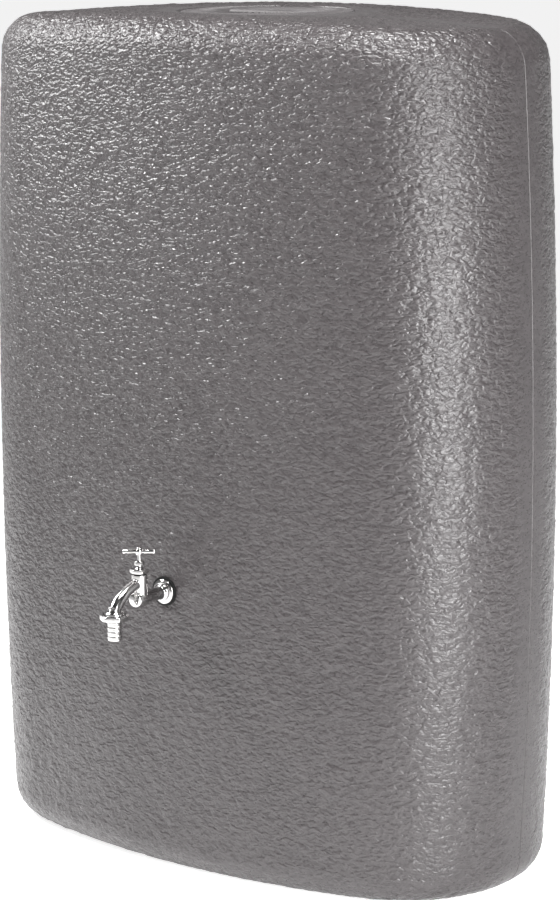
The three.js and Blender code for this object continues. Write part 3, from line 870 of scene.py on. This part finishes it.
def makeLid(plastic, rubber):
    shape = lidShape
    low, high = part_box("lid_cap")
    rim = tankTop - shape["sunk"]
    floor = rim - shape["dishDepth"]
    ringLow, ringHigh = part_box("lid_gasket")
    seat = ringHigh.z + gap
    crown = high.z
    radius = shape["radius"]
    dish = shape["dishRadius"]
    slope = shape["dishSlope"]
    under = floor - shape["dishWall"]
    inner = radius - shape["skirtWall"]
    shoulder = radius - shape["shoulder"]
    soft = shape["underSoft"]
    edge = shape["skirtSoft"]
    corners = [
        (0, under), (dish - slope / 2, under, soft), (dish + shape["dishWall"], seat, soft),
        (inner, seat, shape["seatSoft"]), (inner, low.z, edge), (radius, low.z, edge),
    ]
    corners += [(radius - inwards, rim + above, bend) for inwards, above, bend in shape["rimCurve"]]
    corners += [
        (shoulder, crown - shape["shoulderDrop"], shape["shoulderSoft"]),
        (dish + slope, crown, shape["dishEdgeSoft"]),
        (dish - slope, floor, shape["dishFloorSoft"]), (0, floor),
    ]
    cover = turned("lid_cover", corners, columns=shape["columns"], steps=shape["curveSteps"])
    length = 2 * dish - shape["gripGap"]
    sides = block(length, shape["gripWidth"], floor - shape["gripSink"], crown - shape["gripDrop"])
    grip = bevelEdges(meshObject("grip", *sides), shape["gripBevel"], 5, 40)
    combine(cover, softEdges(grip, 50), "UNION")
    growWith(cover, repeatTree(), {
        "Count": shape["ridges"],
        "Radius": 0.5 * (dish + slope + radius - shape["shoulder"]),
        "Height": crown - shape["ridgeSink"],
        "Ridge Size": shape["ridgeSize"],
        "Finish": plastic,
    })
    finish(softEdges(cover, 40), plastic, "lid", "lid", "lid_cap")
    ring = flatRing("lid_gasket_ring", tankShape["neckRadius"], ringHigh.x, ringLow.z, ringHigh.z,
                    shape["ringSoft"], shape["columns"])
    finish(ring, rubber, "lid_seal", "rubber", "lid_gasket")
    print("lid", len(cover.data.polygons), "faces")


# The tap is laid out from the wall face, outwards along -Y, and from the inlet axis upwards.
# Profiles list radius, height and softness in millimetres.
tapShape = {
    "barrelReach": 49 * mm,
    "barrelTop": 31 * mm,
    "barrelRadius": 9.8 * mm,
    "barrelFoot": -2 * mm,
    "barrelStop": 0.6 * mm,     # the cast barrel ends this far under its turned rim
    "rimHeight": 3 * mm,
    "rimSoft": 0.5 * mm,
    "armRoot": [(0, 6), (11.4, 6.9), (11.5, 9, 1), (8.2, 10.8, 1.5)],
    # these heights are counted from the barrel's axis
    "armEnd": [(7.8, -22, 6), (10.2, -6, 5), (10.6, 6, 5), (8.4, 11.6, 3.5), (0, 12.8)],
    "outletReach": 97 * mm,
    "rootRadius": 6.6 * mm,
    "endRadius": 8.2 * mm,
    "rootHeight": 20 * mm,
    "endHeight": -5 * mm,
    "bendStart": 0.27,          # shares of the spout's run where its curve is steered
    "bendEnd": 0.22,
    "bendRise": 0.5 * mm,
    "collarFoot": -10 * mm,
    "collar": [(0, 0), (12.1, 0), (12.2, 2, 0.8), (9.6, 3.6, 1), (8.2, 7), (0, 7)],
    "outletThread": [
        (0, -13), (12.4, -13), (13.1, -12.4), (13.1, -12), (12.3, -11.6), (12.3, -11.3),
        (13.1, -10.9), (13.1, -10.4), (12.2, -9.9), (12, -8.6), (0, -8.6),
    ],
    "shankEnd": [(0, -26), (9.4, -26), (10.3, -25.1)],
    "shankRoot": 9.7 * mm,
    "shankRadius": 10.4 * mm,
    "shankLength": 7.6 * mm,
    "threadStart": -25 * mm,
    "threadPitch": 1.814 * mm,
    "threadTurns": 13,
    "threadShares": (0.3, 0.5, 0.7),    # of the pitch: end of the root, start and end of the crest
    "valveBore": 7.2 * mm,
    "valveFoot": 8 * mm,
    "overcut": 3 * mm,
    "chamber": (6.6 * mm, -7 * mm, 5.5 * mm),       # radius, low and high
    "seatBore": (4 * mm, 0, 9 * mm),
    "inletBore": 5.5 * mm,
    "inletEnd": -27 * mm,
    "waterway": 4.2 * mm,
    "outletBore": (4.6 * mm, -14 * mm, -4 * mm),
    "castStep": 0.5 * mm,
    "filletFactor": 0.5,
    "filletPasses": 14,
}


def tubeAlong(name, points, radii, columns=40):
    # round bar through points in the plane of the tap, with flat ends
    points = np.array(points)
    forward = np.gradient(points, axis=0)
    forward /= np.linalg.norm(forward, axis=1)[:, None]
    side = np.array((1.0, 0, 0))
    turn = np.arange(columns) / columns * 2 * math.pi
    vertices = []
    for point, ahead, radius in zip(points, forward, radii):
        upward = np.cross(ahead, side)
        for a in turn:
            vertices.append(point + radius * (math.cos(a) * side + math.sin(a) * upward))
    faces = []
    for level in range(len(points) - 1):
        low = level * columns
        for i in range(columns):
            j = (i + 1) % columns
            faces.append((low + i, low + j, low + columns + j, low + columns + i))
    faces.append(tuple(range(columns)))
    faces.append(tuple(range((len(points) - 1) * columns, len(points) * columns)))
    return pointOutwards(meshObject(name, vertices, faces))


def spoutPoints(count=40):
    # leaves the barrel level and bends down to the outlet
    shape = tapShape
    run = shape["outletReach"] - shape["barrelReach"]
    corners = [
        (shape["barrelReach"], shape["rootHeight"]),
        (shape["barrelReach"] + shape["bendStart"] * run, shape["rootHeight"] + shape["bendRise"]),
        (shape["outletReach"] - shape["bendEnd"] * run, shape["rootHeight"] / 2),
        (shape["outletReach"], shape["endHeight"]),
    ]
    points = []
    for t in np.linspace(0, 1, count):
        weights = ((1 - t) ** 3, 3 * t * (1 - t) ** 2, 3 * t * t * (1 - t), t ** 3)
        reach = sum(w * c[0] for w, c in zip(weights, corners))
        height = sum(w * c[1] for w, c in zip(weights, corners))
        points.append((tapX, tapY - reach, tapZ + height))
    return points


def join(name, items):
    # one object from several overlapping closed solids
    work = bmesh.new()
    for item in items:
        work.from_mesh(item.data)
        bpy.data.objects.remove(item)
    mesh = bpy.data.meshes.new(name)
    work.to_mesh(mesh)
    work.free()
    joined = bpy.data.objects.new(name, mesh)
    sceneItems.link(joined)
    return joined


def castBody(barrelAxis, outletAxis, spout):
    # arm, barrel, spout and collar melted into one skin with soft fillets
    shape = tapShape
    reach = shape["barrelReach"]
    arm = turned("arm", inMm(shape["armRoot"]) + inMm(shape["armEnd"], reach))
    place(arm, tapOrigin, "front")
    top = shape["barrelTop"] - shape["barrelStop"]
    barrel = place(cylinder("barrel", shape["barrelRadius"], shape["barrelFoot"], top), barrelAxis)
    collar = place(turned("collar", inMm(shape["collar"], shape["collarFoot"])), outletAxis)
    body = join("tap_casting", [arm, barrel, spout, collar])
    remesh = body.modifiers.new("cast", "REMESH")
    remesh.mode = "VOXEL"
    remesh.voxel_size = shape["castStep"]
    smooth = body.modifiers.new("fillets", "SMOOTH")
    smooth.factor = shape["filletFactor"]
    smooth.iterations = shape["filletPasses"]
    return settle(body)


def makeTapBody(chrome):
    shape = tapShape
    reach = shape["barrelReach"]
    top = shape["barrelTop"]
    barrelAxis = (tapX, tapY - reach, tapZ)
    outletAxis = (tapX, tapY - shape["outletReach"], tapZ)
    points = spoutPoints()
    spout = tubeAlong("spout", points, np.linspace(shape["rootRadius"], shape["endRadius"], len(points)))
    body = castBody(barrelAxis, outletAxis, spout)
    pitch = shape["threadPitch"]
    root = shape["shankRoot"]
    crest = shape["shankRadius"]
    rootEnd, crestStart, crestEnd = shape["threadShares"]
    shank = inMm(shape["shankEnd"])
    for i in range(shape["threadTurns"]):
        foot = shape["threadStart"] + i * pitch
        shank += [
            (root, foot), (root, foot + rootEnd * pitch),
            (crest, foot + crestStart * pitch), (crest, foot + crestEnd * pitch),
        ]
    shank += [(crest, 0), (crest, shape["shankLength"]), (0, shape["shankLength"])]
    combine(body, place(turned("shank", shank), tapOrigin, "front"), "UNION")
    combine(body, place(turned("thread", inMm(shape["outletThread"])), outletAxis), "UNION")
    radius = shape["barrelRadius"]
    rimFoot = top - shape["rimHeight"]
    rim = turned("rim", [(0, rimFoot), (radius, rimFoot), (radius, top, shape["rimSoft"]), (0, top)])
    combine(body, place(rim, barrelAxis), "UNION")
    drill(body, shape["valveBore"], shape["valveFoot"], top + shape["overcut"], barrelAxis)
    drill(body, *shape["chamber"], barrelAxis)
    drill(body, *shape["seatBore"], barrelAxis)
    drill(body, shape["inletBore"], shape["inletEnd"], reach, tapOrigin, "front")
    waterway = tubeAlong("waterway", points, np.full(len(points), shape["waterway"]))
    combine(body, waterway, "DIFFERENCE")
    drill(body, *shape["outletBore"], outletAxis)
    finish(softEdges(body, 38), chrome, "tank", "chrome", "tap_body")
    print("tap casting", len(body.data.polygons), "faces")


wallBore = 10.7 * mm
wallGasketShape = {
    "radius": 18.5 * mm,
    "thick": 2.5 * mm,
    "soft": (0.3 * mm, 0.6 * mm, 0.9 * mm, 0.3 * mm),
}
rosetteShape = {
    "profile": [(15.6, 0, 0.3), (15.6, 1.4, 0.7), (14.2, 2.4, 0.8), (12.8, 3.4, 1), (10.7, 3.6, 0.3)],
    "columns": 96,
}
innerWasherShape = {
    "radius": 17 * mm,
    "thick": 2.5 * mm,
    "soft": (0.3 * mm, 0.7 * mm, 0.7 * mm, 0.3 * mm),
}
backnutShape = {
    "flats": 30 * mm,
    "height": 6 * mm,
}


def makeTapWallPieces(chrome, rubber, brass):
    # the tap clamps the wall between two rubber rings
    shape = wallGasketShape
    top = gap + shape["thick"]
    gasket = flatRing("wall_gasket_ring", wallBore, shape["radius"], gap, top, shape["soft"])
    finish(place(gasket, tapOrigin, "front"), rubber, "tank", "rubber", "wall_gasket")
    foot = shape["thick"] + 2 * gap
    cup = turned("rosette_cup", [(wallBore, foot)] + inMm(rosetteShape["profile"], foot), closed=True,
                 columns=rosetteShape["columns"])
    finish(place(cup, tapOrigin, "front"), chrome, "tank", "chrome", "wall_rosette")
    shape = innerWasherShape
    face = -tankShape["wall"] - gap
    back = face - shape["thick"]
    inner = flatRing("inner_washer_ring", wallBore, shape["radius"], back, face, shape["soft"])
    finish(place(inner, tapOrigin, "front"), rubber, "tank", "rubber", "inner_washer")
    face -= gap + shape["thick"]
    nut = hexNut("shank_backnut", backnutShape["flats"], face - backnutShape["height"], face, wallBore)
    finish(place(nut, tapOrigin, "front"), brass, "tank", "brass", "tap_backnut")
    print("wall pieces done")


bonnetSealShape = {
    "inner": 7.5 * mm,
    "outer": 8.6 * mm,
    "thick": mm,
    "soft": (0.3 * mm, 0.4 * mm, 0.4 * mm, 0.3 * mm),
}
bonnetShape = {
    "hexFlats": 21 * mm,
    "hexHeight": 5.6 * mm,
    "hexBore": 5 * mm,
    "neckTop": 45.2 * mm,
    "foot": [(0, 19.2), (6.9, 19.2, 0.4)],
    "flange": [(6.9, 1), (9.2, 1)],                             # over the seat on the barrel
    "dome": [(9.2, -0.4), (5.8, 0.2, 0.8), (4.6, 1.6, 1.2)],    # over the hexagon's top
    "neck": [(3.7, -4, 1), (3.7, 0, 0.3), (0, 0)],              # against the neck's top
    "spindleBore": (4.5 * mm, 18 * mm, 26.5 * mm),
    "stemBore": (2.55 * mm, 19 * mm, 47 * mm),
}
glandShape = {
    "profile": [
        (4, 42.6, 0.2), (6, 42.6, 0.3), (6.3, 44), (5.6, 47.4, 0.5), (5.1, 48.2, 0.4),
        (2.55, 48.2, 0.2), (2.55, 47), (4, 47),
    ],
    "hex": (11.4 * mm, 42.6 * mm, 47.2 * mm, 4.05 * mm),        # flats, low, high and hole
}
spindleShape = {
    "profile": [(0, 12.9), (4.2, 12.9, 0.4), (4.2, 20.9, 0.4), (2.25, 20.9), (2.25, 61.6, 0.4), (0, 61.6)],
    "jumperBore": (2 * mm, 12 * mm, 19.5 * mm),
    "screwBore": (1.5 * mm, 54.6 * mm, 63 * mm),
    "columns": 40,
}


def makeValveHead(chrome, rubber):
    axis = (tapX, tapY - tapShape["barrelReach"], tapZ)
    foot = tapShape["barrelTop"] + gap
    shape = bonnetSealShape
    seal = flatRing("bonnet_seal_ring", shape["inner"], shape["outer"], foot, foot + shape["thick"],
                    shape["soft"])
    finish(place(seal, axis), rubber, "tank", "rubber", "bonnet_seal")
    seat = tapShape["barrelTop"] + 2 * gap + shape["thick"]
    shape = bonnetShape
    hexTop = seat + shape["hexHeight"]
    corners = inMm(shape["foot"]) + inMm(shape["flange"], seat) + inMm(shape["dome"], hexTop)
    cap = turned("bonnet_cap", corners + inMm(shape["neck"], shape["neckTop"]))
    combine(cap, hexNut("hex", shape["hexFlats"], seat, hexTop, shape["hexBore"]), "UNION")
    drill(cap, *shape["spindleBore"])
    drill(cap, *shape["stemBore"])
    finish(place(softEdges(cap), axis), chrome, "tank", "chrome", "bonnet")
    gland = turned("gland_cap", inMm(glandShape["profile"]), closed=True)
    combine(gland, hexNut("hex", *glandShape["hex"]), "UNION")
    finish(place(softEdges(gland), axis), chrome, "tank", "chrome", "gland_nut")
    shape = spindleShape
    rod = turned("spindle_rod", inMm(shape["profile"]), columns=shape["columns"])
    drill(rod, *shape["jumperBore"])
    drill(rod, *shape["screwBore"])
    finish(place(softEdges(rod), axis), chrome, "handle", "chrome", "spindle")
    makeHandle(chrome, axis)


handleShape = {
    "halfLength": 20.5 * mm,
    "height": 59.4 * mm,
    "restAngle": 36,
    # the bar's tip against its end, then the waist near the hub
    "tip": [(0, 0), (2.2, -0.3, 0.6), (3.1, -1.6, 1), (3.1, -3.4, 1), (2.6, -6, 1.6)],
    "waist": [(2.9, 3)],
    "hub": [(0, 55.2), (3.5, 55.2, 0.5), (4.6, 57, 1.2), (4.8, 60.4, 1.2), (3.6, 62.9, 0.8), (0, 62.9)],
    "spindleBore": (2.55 * mm, 54 * mm, 61.9 * mm),
    "screwBore": (1.5 * mm, 55 * mm, 64 * mm),
    "columns": 48,
    "boreColumns": 40,
}
screwShape = {
    "seat": 63.2 * mm,
    "stem": [(0, 55.6), (1.2, 55.6, 0.3)],
    "head": [(1.2, 0), (3.3, 0, 0.2), (3.2, 1.1, 0.5), (2.2, 1.9, 0.6), (0, 2.1)],      # over the seat
    "slotLength": 8 * mm,
    "slotWidth": 0.8 * mm,
    "slotHeights": (1.2 * mm, 3 * mm),
    "columns": 40,
}


def makeHandle(chrome, axis):
    shape = handleShape
    side = inMm(shape["tip"], shape["halfLength"]) + inMm(shape["waist"])
    mirrored = [(radius, -height, *soft) for radius, height, *soft in side]
    rod = turned("handle_bar", mirrored + side[::-1], columns=shape["columns"])
    rod.data.transform(Matrix.Translation((0, 0, shape["height"])) @ Matrix.Rotation(math.pi / 2, 4, "Y"))
    combine(rod, turned("hub", inMm(shape["hub"]), columns=shape["columns"]), "UNION")
    drill(rod, *shape["spindleBore"], columns=shape["boreColumns"])
    drill(rod, *shape["screwBore"], columns=shape["boreColumns"])
    rod.data.transform(Matrix.Rotation(math.radians(shape["restAngle"]), 4, "Z"))
    finish(place(softEdges(rod, 40), axis), chrome, "handle", "chrome", "t_handle")
    shape = screwShape
    seat = shape["seat"]
    corners = inMm(shape["stem"]) + inMm(shape["head"], seat)
    screw = turned("handle_screw_cap", corners, columns=shape["columns"])
    low, high = shape["slotHeights"]
    slotCut = meshObject("slot", *block(shape["slotLength"], shape["slotWidth"], seat + low, seat + high))
    combine(screw, slotCut, "DIFFERENCE")
    finish(place(softEdges(screw), axis), chrome, "handle", "chrome", "handle_screw")
    print("valve head and handle done")


barbLook = {
    "fill": 0.52,               # share of the pitch that each cone takes up
    "columns": 72,
    "sideSteps": 5,
}


def barbTree():
    # saw-tooth rings repeated down a straight tail
    sheet, given = newTree("hoseBarbs", {
        "Barbs": "Int", "Pitch": "Float", "Inner Radius": "Float", "Outer Radius": "Float",
        "First Height": "Float",
    })
    step = sheet.add("ShaderNodeCombineXYZ", {"Z": given["Pitch"]}).outputs[0]
    start = sheet.add("ShaderNodeCombineXYZ", {"Z": given["First Height"]}).outputs[0]
    line = sheet.add("GeometryNodeMeshLine", {
        "Count": given["Barbs"], "Start Location": start, "Offset": step,
    }).outputs[0]
    tall = sheet.math("MULTIPLY", given["Pitch"], barbLook["fill"])
    cone = sheet.add("GeometryNodeMeshCone", {
        "Vertices": barbLook["columns"], "Side Segments": barbLook["sideSteps"],
        "Radius Bottom": given["Inner Radius"], "Radius Top": given["Outer Radius"], "Depth": tall,
    }).outputs["Mesh"]
    rings = sheet.add("GeometryNodeInstanceOnPoints", {"Points": line, "Instance": cone}).outputs[0]
    return endTree(sheet, rings, given["Finish"])


def barbedRings(tree, material, shape):
    # each barb widens towards the fitting, so that a pushed-on hose can't slip back
    item = meshObject("rings", [(0, 0, 0)], [])
    growWith(item, tree, {
        "Barbs": shape["barbs"],
        "Pitch": shape["barbPitch"],
        "Inner Radius": shape["barbRadii"][0],
        "Outer Radius": shape["barbRadii"][1],
        "First Height": shape["firstBarb"],
        "Finish": material,
    })
    return pointOutwards(item)


unionNutShape = {
    "hex": (32 * mm, -17.7 * mm, -10 * mm, 10.8 * mm, 0.5 * mm),    # flats, low, high, hole and softness
    "threadBore": (13.4 * mm, -16.1 * mm, -8 * mm),
}
hoseTailShape = {
    "profile": [
        (0, -42.3), (8.4, -42.3, 0.5), (8.6, -40.8), (8.6, -15.8),
        (12.8, -15.8, 0.3), (12.8, -14.6, 0.3), (0, -14.6),
    ],
    "barbs": 4,
    "barbPitch": 5.9 * mm,
    "barbRadii": (8.4 * mm, 10.2 * mm),
    "firstBarb": -40.4 * mm,
    "bore": (6.5 * mm, -44 * mm, -13 * mm),
    "edgeBevel": 0.18 * mm,
}


def makeUnion(tree, chrome):
    axis = (tapX, tapY - tapShape["outletReach"], tapZ)
    nut = hexNut("union_ring", *unionNutShape["hex"])
    drill(nut, *unionNutShape["threadBore"])
    finish(place(softEdges(nut), axis), chrome, "nut", "chrome", "union_nut")
    shape = hoseTailShape
    tail = turned("hose_barbs", inMm(shape["profile"]))
    combine(tail, barbedRings(tree, chrome, shape), "UNION")
    drill(tail, *shape["bore"])
    bevelEdges(tail, shape["edgeBevel"], 2, 40)
    finish(place(softEdges(tail, 40), axis), chrome, "tail", "chrome", "hose_tail")
    print("hose union done")


inletGasketShape = {
    "inner": 13.4 * mm,
    "outer": 21 * mm,
    "thick": 2 * mm,
    "soft": (0.3 * mm, 0.6 * mm, 0.8 * mm, 0.3 * mm),
}
spigotShape = {
    "end": [(0, -24), (12.2, -24, 0.4)],
    "threadTurns": 13,
    "threadStart": -23 * mm,
    "threadPitch": 1.814,                               # in millimetres
    "thread": [(12.4, 0), (12.4, 0.5), (13.1, 1), (13.1, 1.3)],
    "flangeHeight": 3.5 * mm,
    "flangeFoot": [(13.1, 0), (20, 0, 0.5)],            # over the gasket
    "spout": [                                          # over the flange
        (20, 0, 0.9), (12.4, 0, 0.9), (11.6, 1.4), (11.6, 26, 0.5), (10.8, 27, 0.3), (0, 27),
    ],
    "barbs": 3,
    "barbPitch": 8.2 * mm,
    "barbRadii": (11.4 * mm, 13.2 * mm),
    "firstBarb": -25 * mm,
    "bore": 9 * mm,
    "boreStart": -26 * mm,
    "boreReach": 30 * mm,
}
inletNutShape = {
    "flats": 36 * mm,
    "height": 7 * mm,
    "bore": 13.4 * mm,
}


def makeInlet(tree, plastic, rubber):
    shape = inletGasketShape
    gasket = flatRing("inlet_gasket_ring", shape["inner"], shape["outer"], gap, gap + shape["thick"],
                      shape["soft"])
    finish(place(gasket, inletOrigin, "left"), rubber, "tank", "rubber", "inlet_gasket")
    seat = 2 * gap + shape["thick"]
    shape = spigotShape
    root = seat + shape["flangeHeight"]
    corners = inMm(shape["end"])
    for i in range(shape["threadTurns"]):
        corners += inMm(shape["thread"], shape["threadStart"] + i * shape["threadPitch"] * mm)
    corners += inMm(shape["flangeFoot"], seat) + inMm(shape["spout"], root)
    spigot = turned("inlet_barbs", corners)
    rings = barbedRings(tree, plastic, shape)
    rings.data.transform(Matrix.Translation((0, 0, root)) @ Matrix.Rotation(math.pi, 4, "X"))
    combine(spigot, rings, "UNION")
    drill(spigot, shape["bore"], shape["boreStart"], root + shape["boreReach"])
    finish(place(softEdges(spigot, 40), inletOrigin, "left"), plastic, "tank", "fitting", "inlet_spigot")
    face = -tankShape["bossDepth"] - gap
    shape = inletNutShape
    nut = hexNut("inlet_nut", shape["flats"], face - shape["height"], face, shape["bore"])
    finish(place(nut, inletOrigin, "left"), plastic, "tank", "fitting", "inlet_backnut")
    print("inlet done")


def dressHiddenNodes(materials):
    # small inner pieces keep their CAD shape
    for node, slotName in (
        ("gland_packing", "rubber"), ("valve_washer", "rubber"), ("union_washer", "rubber"),
        ("valve_jumper", "brass"), ("jumper_nut", "brass"),
    ):
        item = bpy.data.objects[node]
        item.data.materials.clear()
        item.data.materials.append(materials[slotName])


stageLook = {
    "floor": (0.93, 0.93, 0.93),
    "floorReach": 30,
    "floorRoughness": 0.8,
    "floorSpecular": 0.1,
    "floorGlow": 0.8,
    "horizon": 0.25,
    "overhead": 0.05,
    "riseRange": (0.25, 0.62),
    "gapDirection": (0.61, -0.79),      # towards the front right
    "gapRange": (0.965, 0.995),
    "gapShade": 0.1,
}


def makeStage():
    look = stageLook
    far = look["floorReach"]
    corners = [(-far, -far, 0), (far, -far, 0), (far, far, 0), (-far, far, 0)]
    floor = meshObject("floor", corners, [(0, 1, 2, 3)])
    material, sheet, shader = newMaterial("paleFloor", look["floor"], look["floorRoughness"])
    shader.inputs["Specular IOR Level"].default_value = look["floorSpecular"]
    shader.inputs["Emission Color"].default_value = (1, 1, 1, 1)
    shader.inputs["Emission Strength"].default_value = look["floorGlow"]
    floor.data.materials.append(material)
    world = bpy.data.worlds.new("paleRoom")
    world.use_nodes = True
    background = world.node_tree.nodes["Background"]
    sheet = NodeSheet(world.node_tree)
    ahead = sheet.add("ShaderNodeTexCoord").outputs["Generated"]
    parts = sheet.add("ShaderNodeSeparateXYZ", {0: ahead}).outputs
    rise = sheet.ramp(parts[2], *look["riseRange"], look["horizon"], look["overhead"])
    # a dark gap between the two bright sides of the room, fixed in one direction
    toRight, toBack = look["gapDirection"]
    sideways = sheet.math("MULTIPLY", parts[0], toRight)
    facing = sheet.math("ADD", sideways, sheet.math("MULTIPLY", parts[1], toBack))
    shade = sheet.ramp(facing, *look["gapRange"], 1.0, look["gapShade"])
    sheet.feed(background, Strength=sheet.math("MULTIPLY", rise, shade))
    background.inputs["Color"].default_value = (1, 1, 1, 1)
    bpy.context.scene.world = world
    bpy.context.scene.view_settings.view_transform = "Standard"
    print("stage done")


# where each light stands, where it points, its width and height, and its power
lightSetup = {
    "keyLeft": ((-1.15, -0.95, 1.8), (-0.2, -0.2, 0.75), (0.25, 0.4), 52),
    "shoulderLeft": ((-1.4, -0.2, 1.65), (-0.3, -0.15, 0.95), (0.4, 0.8), 17),
    "overhead": ((0.35, -0.25, 2.1), (0.3, -0.15, 1.0), (0.6, 0.35), 36),
    "sideRight": ((1.9, -0.95, 0.85), (0.25, 0, 0.65), (0.3, 1.8), 74),
}


def makeLights():
    for name, (place, target, size, power) in lightSetup.items():
        data = bpy.data.lights.new(name, "AREA")
        data.shape = "RECTANGLE"
        data.size, data.size_y = size
        data.energy = power
        item = bpy.data.objects.new(name, data)
        item.location = place
        item.rotation_mode = "QUATERNION"
        item.rotation_quaternion = (Vector(target) - Vector(place)).to_track_quat("-Z", "Y")
        sceneItems.link(item)


rubber = mottledMaterial("blackRubber", rubberLook)
chrome = mottledMaterial("chromePlate", chromeLook)
brass = mottledMaterial("turnedBrass", brassLook)
lidPlastic = mottledMaterial("lidPlastic", lidLook)
blackPlastic = mottledMaterial("blackPlastic", fittingLook)

gasketLow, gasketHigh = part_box("wall_gasket")
tapX = (gasketLow.x + gasketHigh.x) / 2
tapY = gasketHigh.y + gap
tapZ = (gasketLow.z + gasketHigh.z) / 2
tapOrigin = (tapX, tapY, tapZ)
inletLow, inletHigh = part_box("inlet_gasket")
inletOrigin = (inletHigh.x + gap, 0, (inletLow.z + inletHigh.z) / 2)

makeCamera()
makeStage()
makeLights()
makeTank()
makeLid(lidPlastic, rubber)
makeTapBody(chrome)
makeTapWallPieces(chrome, rubber, brass)
makeValveHead(chrome, rubber)
barbs = barbTree()
makeUnion(barbs, chrome)
makeInlet(barbs, blackPlastic, rubber)
dressHiddenNodes({"rubber": rubber, "brass": brass})
